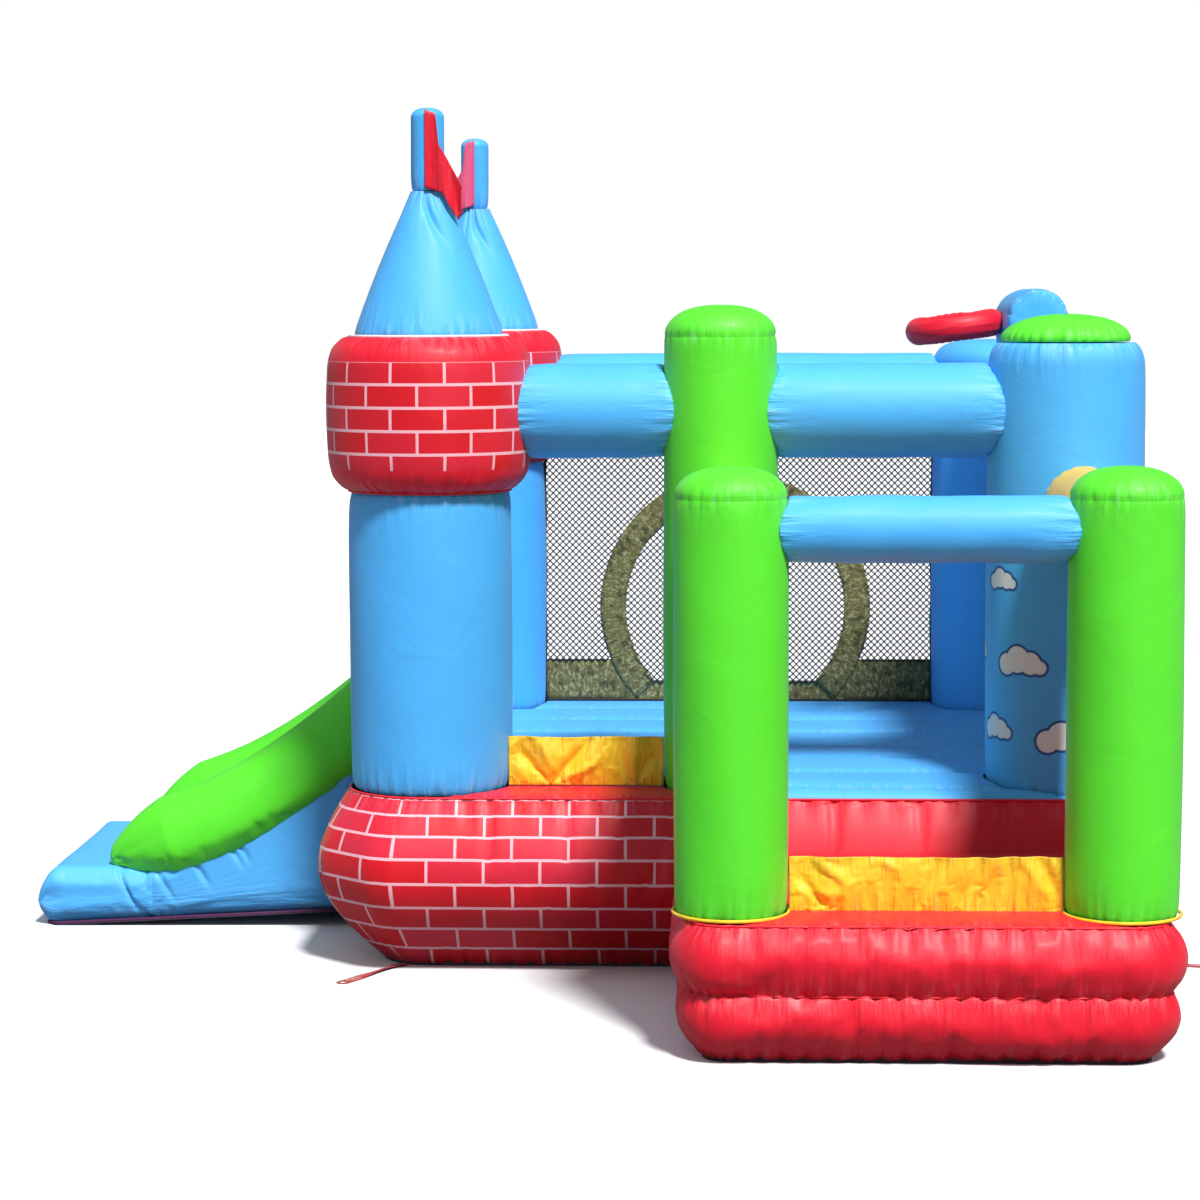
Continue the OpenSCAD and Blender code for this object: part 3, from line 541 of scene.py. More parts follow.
def run_cloth():
    """Runs every asked simulation in one pass and writes the capped result into the meshes."""
    scene = bpy.context.scene
    if not cloth_jobs:
        return
    rest, waiting = {}, []
    for piece, _ in cloth_jobs:
        co = np.empty(len(piece.data.vertices) * 3, np.float32)
        piece.data.vertices.foreach_get("co", co)
        rest[piece.name] = co.reshape(-1, 3)
        waiting += [m for m in piece.modifiers if m.type != "CLOTH"]
    for modifier in waiting:
        modifier.show_viewport = False
    for number in range(1, CLOTH_FRAMES + 1):
        scene.frame_set(number)
    graph = bpy.context.evaluated_depsgraph_get()
    for piece, cap in cloth_jobs:
        shaped = piece.evaluated_get(graph).data
        co = np.empty(len(shaped.vertices) * 3, np.float32)
        shaped.vertices.foreach_get("co", co)
        move = co.reshape(-1, 3) - rest[piece.name]
        length = np.linalg.norm(move, axis=1)[:, None]
        move *= np.minimum(1, cap / np.maximum(length, 1e-9))
        print("cloth", piece.name, "moved", round(float(length.max() * 1000), 1), "mm, mean",
              round(float(length.mean() * 1000), 1))
        rest[piece.name] += move
    for piece, _ in cloth_jobs:
        piece.modifiers.remove(piece.modifiers["air"])
        piece.data.vertices.foreach_set("co", rest[piece.name].ravel())
        piece.data.update()
    for modifier in waiting:
        modifier.show_viewport = True
    scene.frame_set(1)


def row_pins(piece, m, n, low=True, high=True):
    """Marks a skin's first and last rows, and its lids, as sewn."""
    pins = np.zeros(len(piece.data.vertices), bool)
    pins[m * n:] = True
    if low:
        pins[:n] = True
    if high:
        pins[(m - 1) * n:m * n] = True
    return pins


# ---------------------------------------------------------------- the materials in use

sky = coated_cloth("sky_cloth", SKY, pleat_highlight=0.25)
green = coated_cloth("green_cloth", GREEN, gather=0.45, pleat_highlight=0.14)
red = coated_cloth("red_cloth", RED, pleat_highlight=0.10)
yellow = coated_cloth("yellow_cloth", YELLOW, gather=1.6, pleat_highlight=0.10)
khaki = coated_cloth("khaki_cloth", KHAKI, mottled_paint(KHAKI, rgb(160, 152, 104), rgb(76, 70, 32)),
                     gather=0.0,
                     gloss=0.65, pleat_highlight=0.0)
pale_sky = coated_cloth("pale_sky_cloth", rgb(86, 184, 255))
pink = coated_cloth("pennant_pink_cloth", rgb(240, 92, 132))
plum = coated_cloth("plum_binding", rgb(74, 22, 70), gloss=0.6, pleat_highlight=0.0)
white = coated_cloth("white_cloth", WHITE, gloss=0.55, pleat_highlight=0.0)
sheet_grey = coated_cloth("ground_cloth", rgb(70, 62, 78), gloss=0.6, pleat_highlight=0.0)
black_tape = webbing("black_webbing", rgb(20, 20, 22))
red_strap = webbing("red_webbing", rgb(196, 12, 26))
cord = net_cord("net_cord", rgb(26, 26, 29))

BRICK_ROW = 0.0745
BRICK_LENGTH = 0.1755
BRICK_JOINT_X = -0.541       # a joint of the top brick row stands here on the front
CROWN_ROW = 0.0692
CROWN_BRICKS = 12           # bricks round a crown
CROWN_FIRST = 0.152         # the crown's first whole brick line, up from its lower seam
CROWN_SHIFT = 0.008         # turns a joint of the upper row to the front
BAFFLE_HOLE_R = 0.060


# ---------------------------------------------------------------- the base

fl_axis, tower_r, column_low, _ = axis_of("front_left_column")
bl_axis = axis_of("back_left_column")[0]
fr_axis, fr_r, _, _ = axis_of("front_right_column")
br_axis, br_r, _, br_top = axis_of("back_right_column")
mid_axis, mid_r, _, mid_top = axis_of("middle_column")
crown_r = axis_of("front_left_crown")[1]
wall_lo, wall_hi = box("base_wall")
wall_x = -box("front_left_column")[0][0]
wall_y = -box("front_left_column")[0][1]
wall_inset = wall_x - box("ground_sheet")[1][0]
wall_peak = wall_hi[0] - wall_x


def find_bulge(inset, peak):
    """The sine's height that brings a leaning wall's furthest point to peak."""
    bulge = peak
    for _ in range(8):
        s = math.acos(max(-1, -inset / (math.pi * bulge))) / math.pi
        bulge = (peak + inset * (1 - s)) / math.sin(math.pi * s)
    return bulge


wall_bulge = find_bulge(wall_inset, wall_peak)


def wall_offset(z):
    """How far the main wall's face stands outside its top seam at height z."""
    s = np.clip((z - wall_lo[2]) / (wall_hi[2] - wall_lo[2]), 0, 1)
    return -wall_inset * (1 - s) + wall_bulge * np.sin(math.pi * s)


def rounded_outline(hx, hy, r, step):
    """Points and outward directions round a rectangle with rounded corners, from the back's middle."""
    points, out = [], []

    def line(a, b, normal):
        count = max(2, int(round(math.dist(a, b) / step)))
        for i in range(count):
            points.append(np.array(a) + (np.array(b) - np.array(a)) * i / count)
            out.append(normal)

    def corner(cx, cy, start):
        count = max(6, int(round(r * math.pi / 2 / step * 1.4)))
        for i in range(count):
            a = math.radians(start) + math.pi / 2 * i / count
            points.append(np.array([cx + r * math.cos(a), cy + r * math.sin(a)]))
            out.append((math.cos(a), math.sin(a)))

    x, y = hx - r, hy - r
    line((0, hy), (-x, hy), (0, 1))
    corner(-x, y, 90)
    line((-hx, y), (-hx, -y), (-1, 0))
    corner(-x, -y, 180)
    line((-x, -hy), (x, -hy), (0, -1))
    corner(x, -y, 270)
    line((hx, -y), (hx, y), (1, 0))
    corner(x, y, 0)
    line((x, hy), (0, hy), (0, 1))
    return np.array(points), np.array(out)


def base_wall():
    outline, out = rounded_outline(wall_x, wall_y, tower_r, 0.020)
    n = len(outline)
    place = np.arange(n) / n
    length = TAU * tower_r + 4 * (wall_x + wall_y - 2 * tower_r)
    # a corner is sewn from three flat panels, so at the bulge its outline has soft kinks
    turn = np.arctan2(np.abs(out[:, 1]), np.abs(out[:, 0]))
    from_panel = np.abs(turn - np.round(turn / (math.pi / 4)) * math.pi / 4)
    kink = np.minimum(1 / np.cos(from_panel) - 1, 0.050)
    panel_edge = np.abs(from_panel - math.pi / 8)
    levels = graded(34, 0.6)
    z0, z1 = wall_lo[2], wall_hi[2]
    rows = []
    for s in levels:
        z = z0 + (z1 - z0) * s
        d_low, d_high = s * 0.6, (1 - s) * 0.6
        off = float(wall_offset(z))
        full = math.sin(math.pi * s)
        off = off + (tower_r + off) * kink * full
        off = off - pleats(place, d_low, 0.014, 0.09, int(length / 0.06), 11)
        off = off - pleats(place, d_high, 0.010, 0.07, int(length / 0.075), 12) * smooth(0.15 + d_high / 0.03)
        off = off + 0.003 * waves(place, (9, 14, 19), 13) * full
        off = off - 0.003 * np.exp(-(panel_edge / 0.04) ** 2) * full
        xy = outline + out * off[:, None]
        rows.append(np.column_stack([xy, np.full(n, z)]))
    rows = np.array(rows)
    across = np.mean([running(np.vstack([row, row[:1]])) for row in rows], axis=0)
    brick = across[-1] / round(across[-1] / BRICK_LENGTH)
    front = np.nonzero(out[:, 1] < -0.999)[0]
    joint = float(np.interp(BRICK_JOINT_X, outline[front, 0], across[front]))
    # each brick line's height; the first and the last row are cut by the seams
    lines = np.array([0.004, 0.0717, 0.1447, 0.2163, 0.2922, 0.3664, 0.4314, 0.4907, 0.5366])
    counts = np.array([0.08, 1, 2, 3, 4, 5, 6, 7, 8]) * BRICK_ROW
    up = np.interp(z0 + (z1 - z0) * levels, lines, counts)
    up = up + np.maximum(z0 + (z1 - z0) * levels - lines[-1], 0)
    blank = (porch_left[0][0], porch_right[0][0] + 0.02)
    paint = brick_paint(BRICK_ROW, brick, 0.0, counts[-1] + 0.003, 0.0, along=-joint, blank=blank)
    cloth = coated_cloth("base_brick_print", RED, paint, pleat_highlight=0.12)
    piece = skin("base_wall_cloth", "brick_print", cloth, rows, "base_wall", ends=("open", "open"), up=up)
    inflate(piece, 2.5, 0.03, 0.005, row_pins(piece, len(levels), n))
    edge = rows[-1][:, :2] + out * 0.0015
    welt("base_top_piping", "red_fabric", red, np.column_stack([edge, np.full(n, z1 + 0.001)]), 0.004)
    foot = outline - out * (wall_inset - 0.001)
    welt("base_foot_piping", "grey_sheet", sheet_grey, np.column_stack([foot, np.full(n, z0 + 0.002)]), 0.005)


floor_lo, floor_hi = box("jump_floor")
step_lo, step_hi = box("entry_threshold")
step_y = (step_lo[1] + step_hi[1]) / 2


def cut_round(mesh, centre, r):
    """Removes a sheet's faces inside a circle and draws its edge up to the circle."""
    bm = bmesh.new()
    bm.from_mesh(mesh)
    c = Vector((centre[0], centre[1]))
    inside = {v for v in bm.verts if (v.co.xy - c).length < r}
    gone = [f for f in bm.faces if all(v in inside for v in f.verts)]
    bmesh.ops.delete(bm, geom=gone, context="FACES")
    for v in bm.verts:
        away = v.co.xy - c
        if away.length < r:
            spot = c + away.normalized() * r
            v.co.x, v.co.y = spot.x, spot.y
    loose = [v for v in bm.verts if not v.link_faces]
    bmesh.ops.delete(bm, geom=loose, context="VERTS")
    bm.to_mesh(mesh)
    bm.free()


def thicken(piece, depth, offset=-1.0):
    solid = piece.modifiers.new("thickness", "SOLIDIFY")
    solid.thickness = depth
    solid.offset = offset
    solid.use_even_offset = False


def jump_floor():
    """The crowned floor, held down along its baffles so that it stands up in sewn channels."""
    lo, hi = floor_lo, floor_hi
    nx, ny = 124, 150
    xs = np.linspace(lo[0], hi[0], nx + 1)
    ys = np.linspace(lo[1], hi[1], ny + 1)
    gx, gy = np.meshgrid(xs, ys)
    count = 6
    pitch = (2 * (wall_y - tower_r)) / count
    line = np.abs((gy / pitch + (count - 1) / 2) - np.round(gy / pitch + (count - 1) / 2)) * pitch
    held = smooth((wall_x - tower_r + 0.05 - np.abs(gx)) / 0.12)
    channel = 1 - np.exp(-line / 0.030) * held
    to_edge = np.minimum(hi[0] - np.abs(gx), hi[1] - np.abs(gy))
    drop = np.exp(-to_edge / 0.030)
    gz = hi[2] - 0.004 + 0.016 * channel - 0.032 * drop - 0.008
    gz = gz + 0.003 * waves(gx / 2.6 + 0.2 * gy, (3, 5, 7), 31) * waves(gy / 2.6, (2, 4), 32)
    # the entry step's red panel covers the floor's edge beside the left sill
    step = smooth((mid_axis[0] - gx) / 0.02) * smooth((step_y + 0.020 - gy) / 0.02)
    gz = np.where(gx > fl_axis[0] - 0.1, gz + (np.minimum(gz, wall_hi[2] + 0.003) - gz) * step, gz)
    seam = np.where(held > 0.5, line, 0.2)
    # round the corners by drawing the outermost points in
    cx, cy = hi[0] - tower_r, hi[1] - tower_r
    px, py = gx.copy(), gy.copy()
    over = (np.abs(gx) > cx) & (np.abs(gy) > cy)
    dx, dy = np.abs(gx) - cx, np.abs(gy) - cy
    reach = np.hypot(dx, dy)
    k = np.where(over & (reach > 0), np.maximum(dx, dy) / np.maximum(reach, 1e-9), 1)
    px = np.where(over, np.sign(gx) * (cx + dx * k), gx)
    py = np.where(over, np.sign(gy) * (cy + dy * k), gy)
    rows = np.stack([px, py, gz], -1)
    mesh, _ = skin_mesh("jump_floor_cloth", rows, closed=False, seam=seam)
    feet = ((fl_axis, tower_r), (bl_axis, tower_r), (fr_axis, fr_r), (br_axis, br_r), (mid_axis, mid_r))
    for centre, r in feet:
        cut_round(mesh, centre, r + SEAM_GAP)
    piece = finish_piece("jump_floor_cloth", mesh, "sky_fabric", pale_sky, "jump_floor")
    thicken(piece, 0.002)


def entry_step():
    """The red panel on the base's shoulder, from the front seam back to the left sill."""
    x0, x1 = fl_axis[0], mid_axis[0]
    y0 = -wall_y - 0.001
    rows = []
    ys = np.concatenate([[y0], y0 + (step_y + 0.012 - y0) * np.linspace(0, 1, 14)[1:]])
    xs = np.linspace(x0, x1, 70)
    for y in ys:
        rise = 0.0105 * (1 - math.exp(-(y - y0) / 0.030))
        crease = 0.003 * waves(xs / 0.9, (7, 11, 16), 240) * math.exp(-(y - y0) / 0.05)
        rows.append(np.stack([xs, np.full(70, y),
                              np.full(70, wall_hi[2] + 0.0015) + rise + crease * (y > y0)], 1))
    mesh, _ = skin_mesh("entry_step_cloth", rows, closed=False)
    for centre, r in ((fl_axis, tower_r), (mid_axis, mid_r)):
        cut_round(mesh, centre, r + 0.001)
    piece = finish_piece("entry_step_cloth", mesh, "red_fabric", red)
    thicken(piece, 0.0015)


def floor_baffles():
    """Upright webs under the floor, each with round holes that let the air pass."""
    lo, hi = box("floor_baffles")
    count, holes = 6, 7
    pitch = (hi[1] - lo[1]) / (count - 1)
    cell = (hi[0] - lo[0]) / holes
    middle, half = (lo[2] + hi[2]) / 2, (hi[2] - lo[2]) / 2 - 0.001
    around = 40
    a = TAU * (np.arange(around) + 0.5) / around
    reach = np.minimum(cell / 2 / np.maximum(np.abs(np.cos(a)), 1e-6),
                       half / np.maximum(np.abs(np.sin(a)), 1e-6))
    out = bmesh.new()
    for i in range(count):
        y = lo[1] + pitch * i
        for k in range(holes):
            x = lo[0] + cell * (k + 0.5)
            rows = []
            for t in np.linspace(0, 1, 6):
                r = BAFFLE_HOLE_R + (reach - BAFFLE_HOLE_R) * t
                px, pz = x + r * np.cos(a), middle + r * np.sin(a)
                bow = 0.0025 * np.sin(5 * px + i) * np.cos(math.pi * (pz - middle) / half / 2)
                rows.append(np.stack([px, y + bow, pz], 1))
            part, _ = skin_mesh("web part", rows, ends=("open", "open"), seam=np.full((6, around), 0.1))
            out.from_mesh(part)
            bpy.data.meshes.remove(part)
    bmesh.ops.remove_doubles(out, verts=out.verts, dist=1e-5)
    mesh = built(out, "floor_baffle_webs")
    piece = finish_piece("floor_baffle_webs", mesh, "white_fabric", white, "floor_baffles")
    thicken(piece, 0.0012, 0.0)


def ground_sheet():
    """The tough sheets under the base, the porch and the slide, each with a turned-up hem."""
    sheets = [("ground_sheet_cloth", (0, 0), wall_x - wall_inset, wall_y - wall_inset, tower_r - wall_inset)]
    low, high = porch_lo[1] + 0.090, -wall_y + wall_inset - 0.008
    centre = ((porch_lo[0] + porch_hi[0]) / 2, (low + high) / 2)
    sheets.append(("porch_sheet_cloth", centre, (porch_hi[0] - porch_lo[0]) / 2 - 0.095, (high - low) / 2,
                   0.065))
    for name, centre, hx, hy, r in sheets:
        outline, out = rounded_outline(hx, hy, r, 0.04)
        outline = outline + np.array(centre)
        n = len(outline)
        rows = []
        for grow, z in ((-0.030, 0.0), (0.0, 0.0), (0.006, 0.0015), (0.0, 0.003), (-0.030, 0.0028)):
            rows.append(np.column_stack([outline + out * grow, np.full(n, z)]))
        nodes = ("ground_sheet",) if name == "ground_sheet_cloth" else ()
        skin(name, "grey_sheet", sheet_grey, rows, *nodes)
    # the slide's sheet follows its underside, which the air lifts towards the base
    xs = np.linspace(pad_lo[0] + 0.055, -wall_x + 0.060, 40)
    ys = np.linspace(pad_lo[1] + 0.006, pad_hi[1] - 0.006, 24)
    rows = [np.stack([np.full(24, x), ys, np.full(24, underside(x) - 0.0032)], 1) for x in xs]
    piece = skin("slide_sheet_cloth", "grey_sheet", sheet_grey, rows, closed=False)
    thicken(piece, 0.0022, 0.0)


# ---------------------------------------------------------------- columns and towers

def column_radius(r, levels):
    """A tube's radius with a slight swell between its seams."""
    return r - 0.003 + 0.003 * np.sin(math.pi * levels)


def straight_column(name, node, slot, material, seed, count=144, low=1.0, high=0.35):
    centre, r, z0, z1 = axis_of(node)
    levels = graded(44)
    height = z0 + (z1 - z0) * levels
    radius = column_radius(r, levels)
    rows = turned_rows(centre, radius, height, count,
                       both_ends(0.007, 0.075, int(TAU * r / 0.05), seed, low, high))
    return skin(name, slot, material, rows, node)


def domed_column(name, node, slot, material, seed, dome, flat=0.0, gathers=1.0):
    """A column with a domed top, gathered where the dome's panel is sewn on."""
    centre, r, z0, z1 = axis_of(node)
    straight_top = z1 - dome
    lower = graded(40)
    height = list(z0 + (straight_top - z0) * lower)
    radius = list(column_radius(r, lower))
    for a in np.linspace(0, math.pi / 2, 20)[1:-1]:
        height.append(straight_top + dome * math.sin(a))
        radius.append((r - 0.003 - flat) * math.cos(a) + flat * (1 - (2 * a / math.pi) ** 6))
    height, radius = np.array(height), np.array(radius)
    order = running(np.stack([radius, height], 1))
    seam_at = order[len(lower) - 1]
    gather = int(TAU * r / 0.042)

    def pucker(place, d0, d1):
        near = abs(d0 - seam_at)
        out = pleats(place, d0, 0.008, 0.075, gather, seed) + 0.011 * np.exp(-d0 / 0.016)
        out = out + gathers * (pleats(place, near, 0.005, 0.040, gather, seed + 5) + 0.0022
                               * np.exp(-near / 0.009))
        return out - 0.0015 * waves(place + 0.25 * d0, (2, 3, 5), seed + 3)

    rows = turned_rows(centre, radius, height, 144, pucker)
    seam = np.minimum(order, np.abs(order - seam_at) + (1 - gathers))[:, None] * np.ones(144)
    return skin(name, slot, material, rows, node, ends=("cap", "pole"), seam=seam)


def tower(side, seed):
    """A castle tower: column, brick crown, cone roof and finial."""
    straight_column(f"{side}_column_cloth", f"{side}_column", "sky_fabric", sky, seed, high=0.8)
    centre, r, z0, z1 = axis_of(f"{side}_crown")
    _, neck, roof_low, roof_top = axis_of(f"{side}_cone")
    seam_r = neck + 0.012
    # crown: round-shouldered drum
    low, high = z0 + 0.130, z1 - 0.115
    radius, height = [], []
    for a in np.linspace(0, math.pi / 2, 12):
        radius.append(seam_r + (r - seam_r) * math.sin(a))
        height.append(low - (low - z0) * math.cos(a))
    for t in np.linspace(0, 1, 8)[1:-1]:
        radius.append(r + 0.003 * math.sin(math.pi * t))
        height.append(low + (high - low) * t)
    for a in np.linspace(0, math.pi / 2, 12):
        radius.append(seam_r + (r - seam_r) * math.cos(a))
        height.append(high + (z1 - high) * math.sin(a))
    count = int(TAU * r / 0.05)

    def gathered(place, d0, d1):
        out = pleats(place, d0, 0.011, 0.060, count, seed + 20) + pleats(place, d1, 0.011, 0.060, count,
                                                                         seed + 21)
        return out - 0.002 * waves(place, (3, 5, 7), seed + 22)

    rows = turned_rows(centre, np.array(radius), np.array(height), 168, gathered)
    brick = TAU * r / CROWN_BRICKS
    paint = brick_paint(CROWN_ROW, brick, CROWN_FIRST - 0.048, CROWN_FIRST + 3 * CROWN_ROW + 0.066,
                        CROWN_FIRST % CROWN_ROW, along=brick / 2 + CROWN_SHIFT)
    crown = coated_cloth(f"{side}_crown_print", RED, paint, pleat_highlight=0.16)
    piece = skin(f"{side}_crown_cloth", "brick_print", crown, rows, f"{side}_crown", girth=TAU * r)
    inflate(piece, 2.0, 0.02, 0.008, row_pins(piece, len(rows), 168))
    # cone roof with long pulls down its sides and one deep fold at the front
    levels = graded(48, 0.7)
    height = roof_low + (roof_top - roof_low) * levels
    tip = axis_of(f"{side}_finial")[1] + 0.002
    radius = neck + (tip - neck) * levels + 0.006 * np.sin(math.pi * levels)

    def pulled(place, d0, d1):
        long = pleats(place + 0.10 * d0, d1, 0.007, 0.16, 9, seed + 30)
        line = 0.745 + 0.10 * smooth(np.array(d1 / 0.22))
        fold = 0.016 * np.exp(-((place - line) / 0.020) ** 2) * math.exp(-((d1 - 0.10) / 0.075) ** 2)
        foot = pleats(place, d0, 0.006, 0.05, int(TAU * neck / 0.05), seed + 31) + 0.005 * np.exp(-d0 / 0.012)
        return long + foot + fold

    rows = turned_rows(centre, radius, height, 160, pulled)
    skin(f"{side}_cone_cloth", "sky_fabric", sky, rows, f"{side}_cone")
    # finial
    centre, r, z0, z1 = axis_of(f"{side}_finial")
    height = list(z0 + (z1 - 0.030 - z0) * graded(22))
    radius = [r - 0.001] * 23
    for a in np.linspace(0, math.pi / 2, 10)[1:-1]:
        height.append(z1 - 0.030 + 0.030 * math.sin(a))
        radius.append((r - 0.012) * math.cos(a) + 0.011 * (1 - (2 * a / math.pi) ** 4))
    shape = both_ends(0.003, 0.035, 14, seed + 40, 0.5, 0.0)
    rows = turned_rows(centre, np.array(radius), np.array(height), 72, shape)
    skin(f"{side}_finial_cloth", "sky_fabric", sky, rows, f"{side}_finial", ends=("cap", "pole"))
    crown_hi = box(f"{side}_crown")[1][2]
    crown_lo = box(f"{side}_crown")[0][2]
    welt(f"{side}_crown_top_piping", "white_fabric", white,
         circle(centre, seam_r - 0.002, crown_hi + 0.001), 0.0045)
    welt(f"{side}_crown_foot_piping", "red_fabric", red, circle(centre, tower_r - 0.003, crown_lo - 0.001),
         0.004)


def flag(node, seed, facing, material):
    """A drooping pennant sewn along its hoist, with soft folds."""
    lo, hi = box(node)
    hem_x = hi[0] if facing < 0 else lo[0]
    hem_x += 0.0025 * facing
    y = (lo[1] + hi[1]) / 2
    fly = (hi[0] - lo[0]) - 0.0025
    hoist_low = axis_of(node.replace("flag", "left_finial"))[2] + 0.006
    hoist = hi[2] - hoist_low
    droop = hoist_low - lo[2]
    m, n = 26, 40
    rows = []
    for j in range(m):
        b = j / (m - 1)            # 0 at the lower edge, 1 at the upper edge
        row = []
        for i in range(n):
            a = i / (n - 1)        # 0 at the hoist, 1 at the fly
            low_edge = -droop * np.interp(a, [0, 0.45, 0.86, 1], [0, 0.15, 1.0, 0.80])
            high_edge = hoist * np.interp(a, [0, 0.27, 0.36, 1], [1.0, 0.95, 0.56, 0.02])
            z = hoist_low + low_edge + (high_edge - low_edge) * b
            fold = math.sin(a * 9.0 + b * 1.6 + seed) * 0.010 * a + math.sin(a * 17.0 - b * 2.2) * 0.004 * a
            row.append((hem_x + facing * fly * a * (1 - 0.10 * b * (1 - b)), y - 0.004 * a + fold, z))
        rows.append(row)
    piece = skin(f"{node}_cloth", "red_fabric", material, rows, node, closed=False, body=node)
    thicken(piece, 0.0016, 0.0)
    line = [(hem_x, y, hoist_low + hoist * t) for t in np.linspace(0.0, 1.0, 20)]
    welt(f"{node}_hem", "red_fabric", material, line, 0.0028, closed=False, body=node)


def middle_column():
    domed_column("middle_column_cloth", "middle_column", "green_fabric", green, 60, 0.095, flat=0.03)


def right_columns():
    centre, r, z0, z1 = axis_of("front_right_column")
    c, cap_r, low, high = axis_of("front_right_cap")
    spots = []
    for degrees, z, size in ((209, 1.20, 0.060), (228, 0.95, 0.082), (203, 0.74, 0.070), (243, 1.36, 0.055),
                             (262, 0.72, 0.085), (165, 0.98, 0.080), (140, 1.30, 0.060), (120, 0.75, 0.075)):
        spots.append((math.radians(degrees) * r, z - z0, size))
    print_cloth = coated_cloth("cloud_print", SKY, cloud_paint(SKY, spots))
    # the shoulder rounds in to the cap's seam, drawn into close pleats
    shoulder = 0.070
    lower = graded(44)
    height = list(z0 + (z1 - shoulder - z0) * lower)
    radius = list(column_radius(r, lower))
    for a in np.linspace(0, math.radians(76), 14)[1:]:
        height.append(z1 - shoulder + shoulder * math.sin(a) / math.sin(math.radians(76)))
        radius.append(cap_r - 0.002 + (r - 0.001 - cap_r) * math.cos(a))
    gather = int(TAU * cap_r / 0.035)

    def drawn_in(place, d0, d1):
        out = pleats(place, d0, 0.007, 0.075, int(TAU * r / 0.05), 70) + 0.011 * np.exp(-d0 / 0.016)
        return out + pleats(place, d1, 0.009, 0.070, gather, 71) - 0.0015 * waves(place, (2, 3, 5), 72)

    rows = turned_rows(centre, np.array(radius), np.array(height), 168, drawn_in)
    skin("front_right_column_cloth", "sky_fabric", print_cloth, rows, "front_right_column")
    # domed cap with the same heavily gathered seam
    radius, height = [], []
    for a in np.linspace(0, math.pi / 2, 26)[:-1]:
        radius.append(cap_r * math.cos(a) ** 0.9 - 0.002)
        height.append(low + (high - low) * math.sin(a))

    def pucker(place, d0, d1):
        return pleats(place, d0, 0.012, 0.085, gather, 71) + 0.006 * np.exp(-d0 / 0.01)

    rows = turned_rows(c, np.array(radius), np.array(height), 168, pucker)
    skin("front_right_cap_cloth", "green_fabric", green, rows, "front_right_cap", ends=("cap", "pole"))
    domed_column("back_right_column_cloth", "back_right_column", "sky_fabric", sky, 80, 0.085, flat=0.14,
                 gathers=0.0)


# ---------------------------------------------------------------- rails

def end_on(centre, r, direction, across_centre):
    """Where a rail's surface meets a round column, as a function of its sideways offset."""
    def place(offset):
        side = across_centre + offset - centre[1]
        return centre[0] + direction * np.sqrt(np.maximum((r + SEAM_GAP) ** 2 - side ** 2, 1e-6))
    return place


def rail(name, node, slot, material, seed, along, start, end, count=96):
    """A sewn tube between two columns, along X or Y. start and end give its ends for each offset."""
    lo, hi = box(node) if isinstance(node, str) else node
    r = (hi[2] - lo[2]) / 2
    z = (hi[2] + lo[2]) / 2
    other = 1 - along
    centre = (hi[other] + lo[other]) / 2
    place = np.arange(count) / count
    angle = TAU * place
    offset, lift = r * np.cos(angle), r * np.sin(angle)
    a0, a1 = start(offset), end(offset)
    rows = []
    for t in graded(46):
        d0, d1 = (a1 - a0) * t, (a1 - a0) * (1 - t)
        cut = pleats(place, d0, 0.006, 0.055, int(TAU * r / 0.05), seed) + 0.003 * np.exp(-d0 / 0.010)
        cut = cut + (pleats(place, d1, 0.006, 0.055, int(TAU * r / 0.05), seed + 4) + 0.003
                     * np.exp(-d1 / 0.010))
        k = (r - cut - 0.0015 + 0.0015 * waves(place + t, (2, 3), seed + 2)) / r
        row = np.empty((count, 3))
        row[:, along] = a0 + (a1 - a0) * t
        row[:, other] = centre + offset * k
        row[:, 2] = z + lift * k
        rows.append(row)
    nodes = (node,) if isinstance(node, str) else ()
    return skin(name, slot, material, rows, *nodes)


def swap(centre):
    return (centre[1], centre[0])


def rails():
    front_y = (box("front_left_rail")[0][1] + box("front_left_rail")[1][1]) / 2
    back_y = (box("back_rail")[0][1] + box("back_rail")[1][1]) / 2
    left_x = (box("left_rail")[0][0] + box("left_rail")[1][0]) / 2
    right_x = (box("right_rail")[0][0] + box("right_rail")[1][0]) / 2
    rail("front_left_rail_cloth", "front_left_rail", "sky_fabric", sky, 101, 0,
         end_on(fl_axis, crown_r, 1, front_y), end_on(mid_axis, mid_r, -1, front_y))
    rail("front_right_rail_cloth", "front_right_rail", "sky_fabric", sky, 103, 0,
         end_on(mid_axis, mid_r, 1, front_y), end_on(fr_axis, fr_r, -1, front_y))
    rail("back_rail_cloth", "back_rail", "sky_fabric", sky, 105, 0,
         end_on(bl_axis, crown_r, 1, back_y), end_on(br_axis, br_r, -1, back_y))
    rail("left_rail_cloth", "left_rail", "sky_fabric", sky, 107, 1,
         end_on(swap(fl_axis), crown_r, 1, left_x), end_on(swap(bl_axis), crown_r, -1, left_x))
    rail("right_rail_cloth", "right_rail", "sky_fabric", sky, 109, 1,
         end_on(swap(fr_axis), fr_r, 1, right_x), end_on(swap(br_axis), br_r, -1, right_x))


# ---------------------------------------------------------------- nets and sills

NET_PITCH = 0.017
GATE_OUTER = 0.500
GATE_INNER = 0.404
STRIP_TALL = 0.158
BAND_LAP = 0.005            # the net runs this far behind its bands
NET_CORD = 0.0052


def behind_bands(a, z):
    """Whether a place on the back net lies behind the gate's ring or the floor strip."""
    lo, hi = box("back_mesh_bands")
    away = math.hypot(a - (lo[0] + hi[0]) / 2, z - (hi[2] - GATE_OUTER))
    on_ring = GATE_INNER + BAND_LAP < away < GATE_OUTER - BAND_LAP
    beside = away > GATE_OUTER - BAND_LAP and z < lo[2] + STRIP_TALL - BAND_LAP
    return on_ring or beside or z < lo[2] + STRIP_TALL / 2 - BAND_LAP


